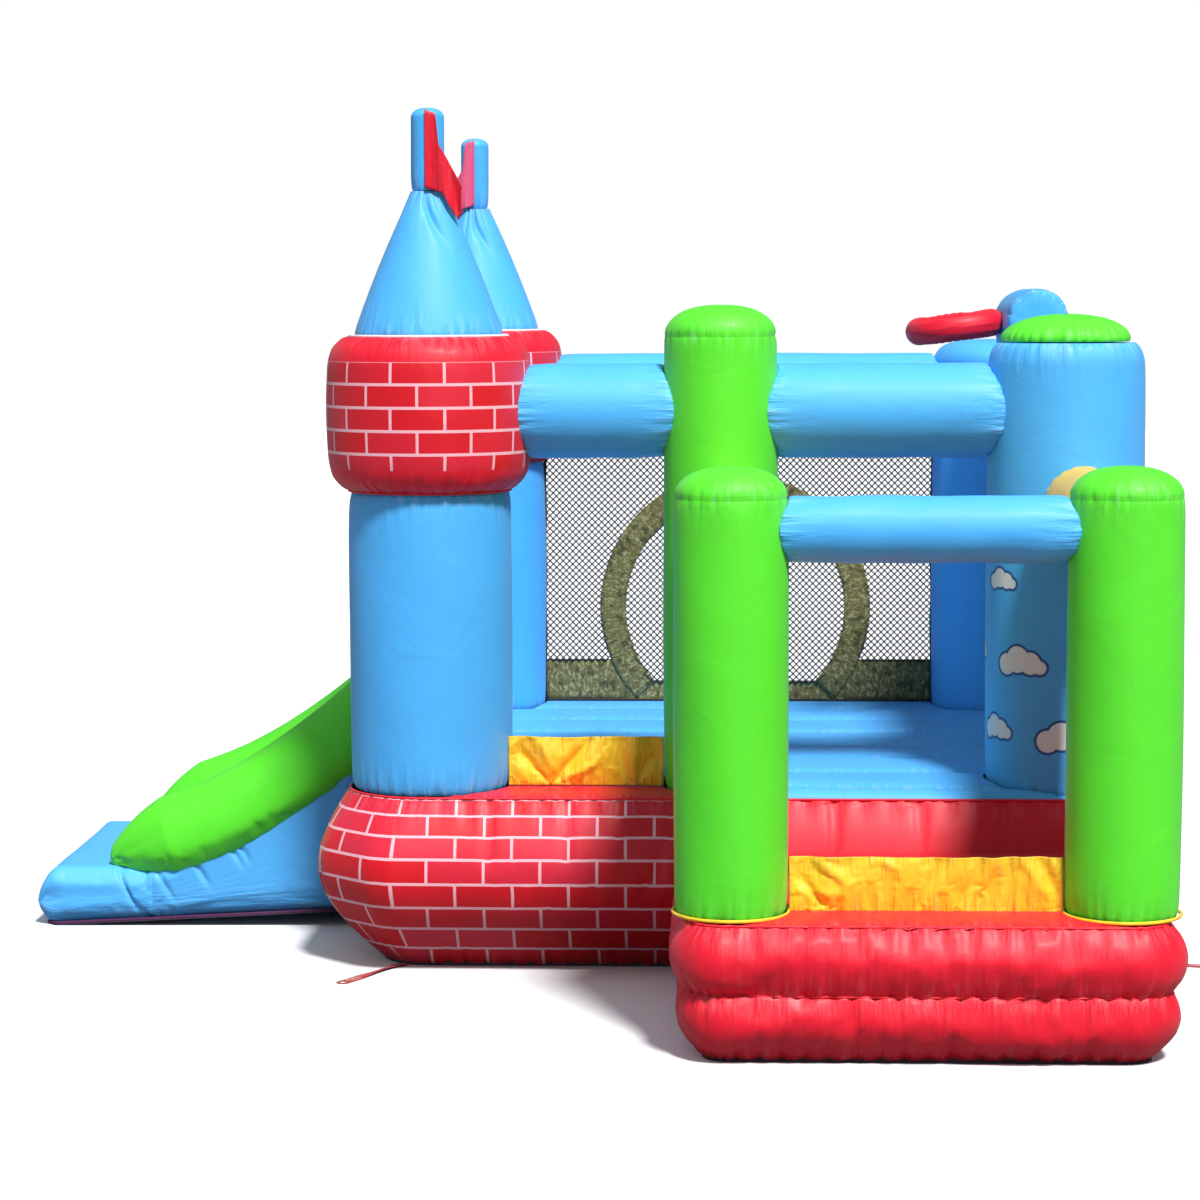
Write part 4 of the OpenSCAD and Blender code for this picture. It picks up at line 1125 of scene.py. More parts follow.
def net(name, node, panels, gap=None):
    """Diamond net in upright panels: each is (along axis, fixed place, low, high, bottom, top).

    gap(along, z) marks where the net is cut away behind sewn cloth."""
    out = bmesh.new()
    for along, fixed, a0, a1, z0, z1 in panels:
        bm = bmesh.new()
        width, tall = a1 - a0, z1 - z0
        reach = (width + tall) / math.sqrt(2) / 2 + NET_PITCH
        cells = int(2 * reach / NET_PITCH) + 1
        bmesh.ops.create_grid(bm, x_segments=cells, y_segments=cells, size=cells * NET_PITCH / 2)
        half = math.sqrt(0.5)
        for v in bm.verts:
            v.co = Vector(((v.co.x - v.co.y) * half + (a0 + a1) / 2, 0.0,
                           (v.co.x + v.co.y) * half + (z0 + z1) / 2))
        for point, normal in (((a0, 0, 0), (-1, 0, 0)), ((a1, 0, 0), (1, 0, 0)), ((0, 0, z0), (0, 0, -1)),
                              ((0, 0, z1), (0, 0, 1))):
            bmesh.ops.bisect_plane(bm, geom=bm.verts[:] + bm.edges[:] + bm.faces[:], dist=1e-5,
                                   plane_co=point, plane_no=normal, clear_outer=True)
        if gap:
            cut = [f for f in bm.faces if gap(f.calc_center_median().x, f.calc_center_median().z)]
            bmesh.ops.delete(bm, geom=cut, context="FACES")
        for v in bm.verts:
            a, z = v.co.x, v.co.z
            sway = 0.006 * math.sin(math.pi * (a - a0) / width) * math.sin(math.pi * (z - z0) / tall)
            if along == 0:
                v.co = Vector((a, fixed + sway, z))
            else:
                v.co = Vector((fixed - sway, a, z))
        part = bpy.data.meshes.new("net part")
        bm.to_mesh(part)
        out.from_mesh(part)
        bm.free()
        bpy.data.meshes.remove(part)
    bmesh.ops.remove_doubles(out, verts=out.verts, dist=1e-4)
    mesh = built(out, name)
    piece = finish_piece(name, mesh, "black_net", cord, node)
    wire = piece.modifiers.new("cords", "WIREFRAME")
    wire.thickness = NET_CORD
    wire.use_even_offset = True
    wire.use_boundary = True
    hems = []
    for index, (along, fixed, a0, a1, z0, z1) in enumerate(panels):
        corners = ((a0, z0), (a1, z0), (a1, z1), (a0, z1))
        for k in range(4):
            (pa, pz), (qa, qz) = corners[k], corners[(k + 1) % 4]
            hems.append(tape_between(f"{name}_hem_{index}_{k}", along, fixed, pa, pz, qa, qz))
    return piece, hems


def tape_between(name, along, fixed, pa, pz, qa, qz, width=0.010, thick=0.0035):
    """A strip of binding tape along one edge of an upright net."""
    start, end = np.array([pa, pz]), np.array([qa, qz])
    run = end - start
    length = np.linalg.norm(run)
    run /= length
    inward = np.array([-run[1], run[0]])
    count = max(4, int(length / 0.06))
    section = [(0.0, -1), (0.0, 1), (width * 0.5, 1.25), (width, 1), (width, -1), (width * 0.5, -1.25)]
    rows = []
    for i in range(count + 1):
        spot = start + run * length * i / count
        ripple = 0.0012 * math.sin(i * 1.7)
        row = []
        for inside, side in section:
            a, z = spot + inward * (inside + (ripple if inside > width * 0.6 else 0))
            off = side * thick / 2
            row.append((a, fixed + off, z) if along == 0 else (fixed + off, a, z))
        rows.append(row)
    return skin(name, "black_webbing", black_tape, rows)


def nets():
    lo, hi = box("back_mesh")
    y = (lo[1] + hi[1]) / 2
    net("back_net", "back_mesh", [(0, y, lo[0] - 0.008, hi[0] + 0.008, lo[2], hi[2] + 0.006)], behind_bands)
    lo, hi = box("right_mesh")
    x = (lo[0] + hi[0]) / 2
    net("right_net", "right_mesh", [(1, x, lo[1] - 0.008, hi[1] + 0.008, lo[2], hi[2] + 0.006)])
    lo, hi = box("doorway_meshes")
    x = (lo[0] + hi[0]) / 2
    inner = 0.390
    net("doorway_nets", "doorway_meshes", [(1, x, lo[1] - 0.008, -inner, lo[2], hi[2] + 0.006),
                                           (1, x, inner, hi[1] + 0.008, lo[2], hi[2] + 0.006)])
    lo, hi = box("porch_side_meshes")
    net("porch_nets", "porch_side_meshes",
        [(1, lo[0] + 0.0015, lo[1] + 0.002, hi[1], lo[2], hi[2]),
         (1, hi[0] - 0.0015, lo[1] + 0.002, hi[1], lo[2], hi[2])])


def net_bands():
    """The round gate and the floor strip sewn on the outside of the back net."""
    lo, hi = box("back_mesh_bands")
    cx = (lo[0] + hi[0]) / 2
    top = hi[2]
    inner, outer, strip = GATE_INNER, GATE_OUTER, STRIP_TALL
    cz = top - outer
    y = lo[1] + 0.001
    z0 = lo[2]
    rows = []
    start = math.asin(max(-1, (z0 + 0.01 - cz) / outer))
    angles = np.linspace(start, math.pi - start, 90)
    for k, r in enumerate(np.linspace(inner, outer, 9)):
        wave = 0.0012 * waves(np.linspace(0, 1, 90), (5, 9, 14), 200 + k)
        zz = np.maximum(cz + r * np.sin(angles), z0)
        rows.append(np.stack([cx + r * np.cos(angles), np.full(90, y) + wave, zz], 1))
    ring = skin("net_gate_band", "khaki_fabric", khaki, rows, "back_mesh_bands", closed=False)
    thicken(ring, 0.002)
    net_lo, net_hi = box("back_mesh")
    for side, a0, a1 in (("left", net_lo[0], cx - 0.405), ("right", cx + 0.405, net_hi[0]),
                         ("middle", cx - 0.41, cx + 0.41)):
        tall = strip if side != "middle" else strip / 2
        xs = np.linspace(a0, a1, 30)
        rows = []
        for t in np.linspace(0, 1, 7):
            wave = 0.0015 * waves(np.linspace(0, 1, 30), (2, 3, 5), 210)
            rows.append(np.stack([xs, np.full(30, y + 0.003) + wave, np.full(30, z0 + tall * t)], 1))
        strip_piece = skin(f"net_strip_{side}", "khaki_fabric", khaki, rows, closed=False)
        thicken(strip_piece, 0.002)


ENTRY_FOLDS = ((0.00, 0.90, 0.26, 0.05, 0.016), (0.52, 0.92, 0.28, 0.04, 0.016),
               (0.00, 0.55, 0.14, 0.02, -0.010),
               (0.62, 0.55, 0.34, 0.10, -0.012), (0.20, 0.95, 0.30, 0.25, -0.010),
               (0.70, 0.95, 0.76, 0.05, 0.012),
               (0.98, 0.80, 0.82, 0.10, 0.010))
PORCH_FOLDS = ((0.00, 0.80, 0.14, 0.10, 0.014), (0.02, 0.45, 0.20, 0.30, -0.010),
               (0.10, 0.95, 0.22, 0.55, -0.010),
               (0.92, 0.92, 1.00, 0.20, 0.014), (0.85, 0.95, 0.97, 0.10, -0.009),
               (0.55, 0.90, 0.48, 0.20, 0.006),
               (0.70, 0.85, 0.62, 0.10, 0.005))


def sill(name, node, seed, folds, low=0.0):
    """A loose sheet sewn between two columns and along its foot, drawn into folds.

    Each fold is a line (x0, t0, x1, t1, depth) on the sheet, in shares of its width and height."""
    lo, hi = box(node)
    z_low = lo[2] - low
    width, tall = hi[0] - lo[0], hi[2] - z_low
    n, m = 120, 40
    place = np.linspace(0, 1, n)
    rows = []
    y = (lo[1] + hi[1]) / 2
    for t in np.linspace(0, 1, m):
        middle = np.sin(math.pi * place)
        sag = 0.006 * middle * t
        drawn = 0.0
        for x0, t0, x1, t1, depth in folds:
            a = np.array([x0 * width, t0 * tall])
            b = np.array([x1 * width, t1 * tall])
            spot = np.stack([place * width, np.full(n, t * tall)], 1)
            along = np.clip(((spot - a) @ (b - a)) / ((b - a) @ (b - a)), 0, 1)
            away = np.linalg.norm(spot - a - along[:, None] * (b - a), axis=1)
            drawn = drawn + depth * np.exp(-(away / 0.015) ** 2) * np.sin(math.pi * (0.15 + 0.8 * along))
        edge = waves(place, (7, 11, 16), seed + 1) * 0.0020 * (1 - t)
        bow = -0.010 * math.sin(math.pi * min(1, t * 1.1)) * middle
        held = np.minimum(1, 8 * np.minimum(place, 1 - place))
        rows.append(np.stack([lo[0] + width * place, y + (drawn + edge) * held + bow,
                              z_low + tall * t - sag], 1))
    piece = skin(name, "yellow_fabric", yellow, rows, node, closed=False)
    pins = np.zeros(n * m, bool)
    pins[:n] = True
    pins[::n] = True
    pins[n - 1::n] = True
    inflate(piece, 0.0, 0.04, 0.012, pins, stiff=8.0)
    thicken(piece, 0.002, 0.0)


# ---------------------------------------------------------------- hoop

def hoop():
    lo, hi = box("hoop_backboard")
    rail_lo, rail_hi = box("right_rail")
    rx, rz = (rail_lo[0] + rail_hi[0]) / 2, (rail_lo[2] + rail_hi[2]) / 2
    rr = (rail_hi[2] - rail_lo[2]) / 2 + SEAM_GAP
    x_mid, half_x = (lo[0] + hi[0]) / 2, (hi[0] - lo[0]) / 2
    half_y = (hi[1] - lo[1]) / 2
    crest = hi[2] - half_x
    count = 72
    rows = []
    for t in graded(40, 0.8):
        s = 2 * t - 1
        shrink = (1 - abs(s) ** 9) ** 0.35 * 0.12 + 0.88
        d = (1 - abs(s)) * half_y
        row = []
        for i in range(count):
            a = TAU * i / count
            place = i / count
            cut = float(pleats(np.array(place), np.array(d), 0.007, 0.07, 14, 300 + (s > 0)))
            ca, sa = math.cos(a), math.sin(a)
            x = x_mid + (half_x - cut) * shrink * ca
            z = crest + (half_x - cut) * shrink * sa if sa > 0 else crest + sa * (crest - rz)
            floor = rz + math.sqrt(max(rr ** 2 - (x - rx) ** 2, 0.0))
            row.append((x, (lo[1] + hi[1]) / 2 + s * half_y, max(z, floor)))
        rows.append(row)
    skin("hoop_backboard_cloth", "sky_fabric", sky, rows, "hoop_backboard")
    # ring
    lo, hi = box("hoop_ring")
    ring_r, tube = 0.125, 0.046
    cx, cy = lo[0] + ring_r + tube - 0.001, (lo[1] + hi[1]) / 2
    cz = (lo[2] + hi[2]) / 2
    tilt = math.radians(7)
    face = box("hoop_backboard")[0][0] - SEAM_GAP
    n, m = 96, 28
    rows = []
    for i in range(n):
        a = TAU * i / n
        row = []
        for j in range(m):
            b = TAU * j / m
            inner = 0.5 - 0.5 * math.cos(b)      # 1 on the ring's inside
            fold = float(pleats(np.array(i / n), np.array(0.0), 0.006, 0.05, 30, 310)) * inner
            t = tube - fold + 0.001 * math.sin(5 * a)
            r = ring_r + t * math.cos(b)
            x, y, z = r * math.cos(a), r * math.sin(a), t * math.sin(b)
            px = cx + x * math.cos(tilt) - z * math.sin(tilt)
            pz = cz + x * math.sin(tilt) + z * math.cos(tilt)
            row.append((min(px, face), cy + y, pz))
        rows.append(row)
    rows.append(rows[0])
    mesh, _ = skin_mesh("hoop_ring_cloth", rows, True, ("open", "open"), seam=np.full((n + 1, m), 0.05))
    weld(mesh)
    finish_piece("hoop_ring_cloth", mesh, "red_fabric", red, "hoop_ring")


# ---------------------------------------------------------------- porch

porch_lo, porch_hi = box("porch_base")
porch_floor_lo, porch_floor_hi = box("porch_floor")
porch_left = axis_of("porch_left_column")
porch_right = axis_of("porch_right_column")


def porch_base():
    """Two stacked bulging tiers round three sides, ending on the main wall."""
    mid_x = (porch_lo[0] + porch_hi[0]) / 2
    front = -porch_lo[1] - 0.036
    hx = (porch_hi[0] - porch_lo[0]) / 2 - 0.036
    r = 0.125
    z0, z1 = porch_lo[2], porch_hi[2]
    seam_z = (z0 + z1) / 2

    def offset(z):
        if z < seam_z:
            s = (z - z0) / (seam_z - z0)
            return -0.060 * (1 - s) + 0.040 * math.sin(math.pi * s) ** 0.8
        s = (z - seam_z) / (z1 - seam_z)
        return -0.010 * s + 0.036 * math.sin(math.pi * s) ** 0.8

    levels = np.concatenate([z0 + (seam_z - z0) * graded(18, 0.75),
                             seam_z + (z1 - seam_z) * graded(18, 0.75)[1:]])
    straight, arc, front_n = 44, 16, 52
    rows, seam = [], []
    for z in levels:
        off = offset(z)
        y_wall = -(wall_y + float(wall_offset(z)) + SEAM_GAP)
        x_edge, y_edge = hx + off, front + off
        rc = max(r + off, 0.02)
        pts, nrm = [], []
        for t in np.linspace(0, 1, straight, endpoint=False):
            pts.append((-x_edge, y_wall + (-(y_edge - rc) - y_wall) * t)); nrm.append((-1, 0))
        for a in np.linspace(180, 270, arc, endpoint=False):
            c, s_ = math.cos(math.radians(a)), math.sin(math.radians(a))
            pts.append((-(x_edge - rc) + rc * c, -(y_edge - rc) + rc * s_)); nrm.append((c, s_))
        for t in np.linspace(0, 1, front_n, endpoint=False):
            pts.append((-(x_edge - rc) + 2 * (x_edge - rc) * t, -y_edge)); nrm.append((0, -1))
        for a in np.linspace(270, 360, arc, endpoint=False):
            c, s_ = math.cos(math.radians(a)), math.sin(math.radians(a))
            pts.append(((x_edge - rc) + rc * c, -(y_edge - rc) + rc * s_)); nrm.append((c, s_))
        for t in np.linspace(0, 1, straight + 1):
            pts.append((x_edge, -(y_edge - rc) + (y_wall + (y_edge - rc)) * t)); nrm.append((1, 0))
        pts, nrm = np.array(pts), np.array(nrm)
        place = np.linspace(0, 1, len(pts))
        to_seam = min(abs(z - seam_z), z - z0, z1 - z)
        cut = pleats(place, abs(z - seam_z), 0.012, 0.055, 64, 400 if z < seam_z else 401)
        cut = cut + pleats(place, z - z0, 0.012, 0.055, 58, 402) + pleats(place, z1 - z, 0.009, 0.05, 52, 403)
        cut = cut - 0.004 * waves(place, (5, 8, 12), 404) * (to_seam > 0.03)
        pts = pts - nrm * cut[:, None]
        rows.append(np.column_stack([pts[:, 0] + mid_x, pts[:, 1], np.full(len(pts), z)]))
        seam.append(np.full(len(pts), to_seam))
    piece = skin("porch_base_cloth", "red_fabric", red, rows, "porch_base", closed=False, seam=np.array(seam))
    n = len(rows[0])
    pins = np.zeros(n * len(rows), bool)
    for j in (0, 18, len(rows) - 1):
        pins[j * n:(j + 1) * n] = True
    pins[::n] = True
    pins[n - 1::n] = True
    inflate(piece, 2.5, 0.03, 0.010, pins)
    top = np.array(rows[-1])
    welt("porch_top_piping", "red_fabric", red, top + [0, 0, 0.001], 0.004, closed=False)
    welt("porch_middle_piping", "red_fabric", red, np.array(rows[18]), 0.003, closed=False)
    welt("porch_foot_piping", "grey_sheet", sheet_grey, np.array(rows[0]) + [0, 0, 0.0005], 0.004,
         closed=False)


def porch_floor():
    """The red panel on top of the porch base, crowned by the air below it."""
    mid_x = (porch_lo[0] + porch_hi[0]) / 2
    hx = (porch_hi[0] - porch_lo[0]) / 2 - 0.046
    front = -porch_lo[1] - 0.046
    back = wall_y + float(wall_offset(porch_floor_hi[2])) + SEAM_GAP
    nx, ny = 90, 80
    gx, gy = np.meshgrid(np.linspace(-hx, hx, nx + 1), np.linspace(-front, -back, ny + 1))
    rc = 0.115
    dx, dy = np.abs(gx) - (hx - rc), -gy - (front - rc)
    over = (dx > 0) & (dy > 0)
    reach = np.maximum(np.hypot(dx, dy), 1e-9)
    k = np.where(over, np.maximum(dx, dy) / reach, 1)
    px = np.where(over, np.sign(gx) * (hx - rc + dx * k), gx)
    py = np.where(over, -(front - rc + dy * k), gy)
    to_edge = np.minimum(hx - np.abs(gx), front + gy)
    rise = 0.014 * (1 - np.exp(-np.maximum(to_edge, 0) / 0.05))
    crease = pleats((np.arctan2(gy + front / 2 + back / 2, gx) + math.pi) / TAU, np.maximum(to_edge, 0),
                    0.007, 0.09, 44, 420)
    pitch = 0.30
    line = np.abs(gy / pitch - np.round(gy / pitch)) * pitch
    channel = 0.007 * np.exp(-line / 0.02) * smooth((hx - 0.05 - np.abs(gx)) / 0.1)
    gz = porch_hi[2] + 0.001 + rise - crease - channel
    rows = np.stack([px + mid_x, py, gz], -1)
    mesh, _ = skin_mesh("porch_floor_cloth", rows, closed=False,
                        seam=np.maximum(np.minimum(to_edge, line + 0.004), 0))
    for centre, r, _, _ in (porch_left, porch_right):
        cut_round(mesh, centre, r + SEAM_GAP)
    piece = finish_piece("porch_floor_cloth", mesh, "red_fabric", red, "porch_floor")
    thicken(piece, 0.002)


def porch():
    porch_base()
    porch_floor()
    for side, (centre, r, z0, _), seed in (("left", porch_left, 430), ("right", porch_right, 440)):
        domed_column(f"porch_{side}_column_cloth", f"porch_{side}_column", "green_fabric", green, seed,
                     0.085, flat=0.02)
        welt(f"porch_{side}_foot_piping", "yellow_fabric", yellow, circle(centre, r + 0.001, z0 + 0.010),
             0.005)
    lo, hi = box("porch_front_rail")
    y = (lo[1] + hi[1]) / 2
    rail("porch_front_rail_cloth", "porch_front_rail", "sky_fabric", sky, 450, 0,
         end_on(porch_left[0], porch_left[1], 1, y), end_on(porch_right[0], porch_right[1], -1, y), count=80)
    # side rails, from each porch column back to a chamber column
    lo, hi = box("porch_side_rails")
    r = (hi[2] - lo[2]) / 2
    for side, x, column, far, far_r in (("left", lo[0] + r, porch_left, mid_axis, mid_r),
                                        ("right", hi[0] - r, porch_right, fr_axis, fr_r)):
        own = (np.array([x - r, lo[1], lo[2]]), np.array([x + r, hi[1], hi[2]]))
        piece = rail(f"porch_{side}_rail_cloth", own, "yellow_fabric", yellow, 460 + len(side), 1,
                     end_on(swap(column[0]), column[1], 1, x), end_on(swap(far), far_r, -1, x), count=88)
        if side == "left":
            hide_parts("porch_side_rails")


# ---------------------------------------------------------------- slide

ARC_R = 2.075
pad_lo, pad_hi = box("landing_pad")
ramp_lo, ramp_hi = box("slide_ramp")
lane_lo, lane_hi = box("slide_lane")
bolster_lo, bolster_hi = box("front_bolster")
bolster_r = (bolster_hi[1] - bolster_lo[1]) / 2
bolster_y = -(bolster_hi[1] + bolster_lo[1]) / 2
ride_r = ARC_R - bolster_r + 0.050      # the bolsters are let 50 mm into the ramp
# slopes of the arc at the foot of the ramp, the lane's end, its top, and the bolsters' two ends
FOOT, LANE_LOW, ARC_TOP, BOLSTER_LOW, BOLSTER_TOP = (math.radians(a) for a in (17.8, 18.6, 39.6, 20.9, 42.5))


def arc_centre():
    """The slide's arc centre, from the lane's two ends, which lie at known slopes on it."""
    x = lane_lo[0] - (ARC_R - 0.004) * math.sin(LANE_LOW)
    z = lane_hi[2] + (ARC_R - 0.004) * math.cos(ARC_TOP)
    return x, z


arc_x, arc_z = arc_centre()
arc_end = arc_x + ARC_R * math.sin(ARC_TOP)


def on_arc(x, lift=0.0):
    """Height of the slide's surface at x. It runs on level with the base past the arc's top."""
    r = ARC_R - lift
    x_top = arc_x + r * math.sin(ARC_TOP)
    z = arc_z - np.sqrt(np.maximum(r * r - (np.minimum(x, x_top) - arc_x) ** 2, 0))
    return z - 0.19 * np.maximum(x - x_top, 0)


def underside(x):
    """Height of the slide's underside, which the air lifts off the ground towards the base."""
    t = (x - pad_lo[0] - 0.05) / (-wall_x - pad_lo[0] - 0.05)
    return 0.0045 + 0.056 * float(np.clip(t, 0, 1.05))


def under_bolster(x, y):
    """The radius that the ramp's surface has at y, where a bolster presses it down."""
    dy = np.abs(np.abs(y) - bolster_y)
    pressed = ride_r + np.sqrt(np.maximum(bolster_r ** 2 - dy ** 2, 0)) + SEAM_GAP
    start = arc_x + ride_r * math.sin(BOLSTER_LOW)
    deep = smooth(np.clip((x - start + 0.06) / 0.08, 0, 1))
    return ARC_R + np.maximum(pressed - ARC_R, 0) * (dy < bolster_r) * deep


CREASES = (-2.071, -1.943, -1.827, -1.715, -1.692)


def slide_creases(x, z, top):
    """Depth of the slanting creases that run down the slide's side from below the bolster's nose."""
    depth = 0.0
    for start in CREASES:
        line = start + 0.50 * (top - 0.02 - z)
        down = np.clip((top - z) / 0.15, 0, 1)
        depth = depth + 0.011 * np.exp(-((x - line) / 0.007) ** 2) * np.sin(math.pi
                                                                            * np.clip(down * 0.9 + 0.1, 0, 1))
    return depth


def loft(name, slot, material, stations, *nodes, count=150, seed=0, ends=("cap", "cap"), end_at=None,
         start=0.0):
    """A pillow through cross-sections of (x, half width, bottom, top, corner radius), laid along X.

    end_at gives the x of the far end for each height, and every section leans towards it."""
    xs = np.array([s[0] for s in stations])
    way = running(np.stack([xs, [s[3] for s in stations]], 1))
    rows, seam = [], []
    for (x, half, low, high, corner), d in zip(stations, way):
        hy, hz = half, (high - low) / 2
        rc = min(corner, hz * 0.98, hy * 0.98)
        pts, nrm = rounded_section(hy, hz, rc, count)
        place = np.arange(count) / count
        z = pts[:, 1] + (low + high) / 2
        px = np.full(count, x)
        if end_at is not None:
            t = (x - start) / (xs[-1] - start)
            px = start + (end_at(z) - start) * t
        cut = 0.003 * waves(place, (4, 6, 9), seed) * math.sin(math.pi * d / way[-1])
        cut = cut + slide_creases(px, z, high) * np.abs(nrm[:, 0])
        out = pts - nrm * cut[:, None]
        z = out[:, 1] + (low + high) / 2
        if end_at is not None:
            groove = under_bolster(px, out[:, 0])
            pressed = arc_z - np.sqrt(np.maximum(groove ** 2 - (np.minimum(px, arc_end) - arc_x) ** 2, 0))
            z = np.where(nrm[:, 1] > 0.3, np.minimum(z, np.where(groove > ARC_R, pressed, z)), z)
        rows.append(np.column_stack([px, out[:, 0], z]))
        seam.append(np.abs(pts[:, 1] + hz - 0.004) + 0.002)
    return skin(name, slot, material, rows, *nodes, ends=ends, seam=np.array(seam)), rows


def rounded_section(hy, hz, r, count):
    """Points and outward directions round a rounded rectangle in the YZ plane."""
    pts, nrm = [], []
    corners = ((hy - r, -(hz - r), 270), (hy - r, hz - r, 0), (-(hy - r), hz - r, 90),
               (-(hy - r), -(hz - r), 180))
    # equal shares of the points for equal sides, so that sections of any height match point for point
    shares = (0.07, 0.10, 0.07, 0.26, 0.07, 0.10, 0.07, 0.26)
    spans = []
    for k, (cx, cz, a0) in enumerate(corners):
        spans.append(("arc", (cx, cz, a0)))
        nx, nz, _ = corners[(k + 1) % 4]
        a1 = math.radians(a0 + 90)
        p0 = (cx + r * math.cos(a1), cz + r * math.sin(a1))
        p1 = (nx + r * math.cos(a1), nz + r * math.sin(a1))
        spans.append(("line", (p0, p1, a1)))
    starts = np.concatenate([[0], np.cumsum(shares)])
    for i in range(count):
        want = i / count
        k = min(int(np.searchsorted(starts, want, side="right")) - 1, 7)
        kind, data = spans[k]
        t = (want - starts[k]) / shares[k]
        if kind == "arc":
            a = math.radians(data[2] + 90 * t)
            pts.append((data[0] + r * math.cos(a), data[1] + r * math.sin(a)))
        else:
            p0, p1, a = data
            pts.append((p0[0] + (p1[0] - p0[0]) * t, p0[1] + (p1[1] - p0[1]) * t))
        nrm.append((math.cos(a), math.sin(a)))
    return np.array(pts), np.array(nrm)


def slide():
    join = pad_hi[0]
    half = (pad_hi[1] - pad_lo[1]) / 2 - 0.002
    tip = pad_lo[0]
    nose = 0.060
    foot_x = arc_x + ARC_R * math.sin(FOOT)
    top_tip = float(on_arc(foot_x)) - 0.002
    stations = []
    for t in np.linspace(0.02, 1, 14):                 # the rounded nose
        a = math.pi / 2 * t
        x = tip + nose * (1 - math.cos(a))
        h = math.sin(a)
        mid = 0.090
        low = mid - (mid - underside(x)) * h ** 0.45
        stations.append((x, half - 0.020 * (1 - h), low, mid + (top_tip - mid) * h, 0.055))
    for x in np.linspace(tip + nose, join, 44)[1:]:
        high = top_tip if x < foot_x else float(on_arc(x))
        stations.append((x, half, underside(x), high, 0.055))
    pad, rows = loft("landing_pad_cloth", "blue_fabric", pale_sky, stations, "landing_pad", seed=500,
                     ends=("cap", "open"))
    inflate(pad, 2.0, 0.02, 0.006, row_pins(pad, len(rows), 150))
    # ramp: its top follows the slide's arc and its inner end leans against the base wall
    start, end_x = join + 0.0002, -wall_x - SEAM_GAP

    def lean(z):
        return np.where(z < wall_hi[2], -(wall_x + wall_offset(z) + SEAM_GAP), end_x)

    stations = []
    for x in np.linspace(start, end_x, 92):
        stations.append((x, half, underside(x), float(on_arc(x)), 0.055))
    ramp, rows = loft("slide_ramp_cloth", "blue_fabric", pale_sky, stations, "slide_ramp", seed=510,
                      ends=("open", "cap"), end_at=lean, start=start)
    inflate(ramp, 2.0, 0.02, 0.004, row_pins(ramp, len(rows), 150))
    # lane sheet with raised rolled edges
    lo, hi = lane_lo, lane_hi
    n = 40
    rows = []
    for j in range(61):
        x = lo[0] + (hi[0] - lo[0]) * j / 60
        ys = np.linspace(lo[1], hi[1], n)
        edge = np.minimum(ys - lo[1], hi[1] - ys)
        z = on_arc(x) + 0.004 + 0.004 * np.exp(-edge / 0.010) + 0.0015 * waves(ys + x, (3, 5), 520)
        rows.append(np.stack([np.full(n, x), ys, z], 1))
    lane = skin("slide_lane_cloth", "sky_fabric", sky, rows, "slide_lane", closed=False)
    thicken(lane, 0.0025)
    # a dark binding along the foot of the sides and the nose
    foot = [(x, -half + 0.010, underside(x) + 0.001) for x in np.linspace(-wall_x + 0.035, tip + 0.060, 60)]
    around = [(tip + 0.034, -half + 0.030, 0.0075), (tip + 0.030, 0.0, 0.0075),
              (tip + 0.034, half - 0.030, 0.0075)]
    back = [(x, -y, z) for x, y, z in reversed(foot)]
    welt("slide_foot_piping", "grey_sheet", plum, foot + around + back, 0.0065, closed=False)
    for side, y in (("front", -bolster_y), ("back", bolster_y)):
        bolster(side, y)


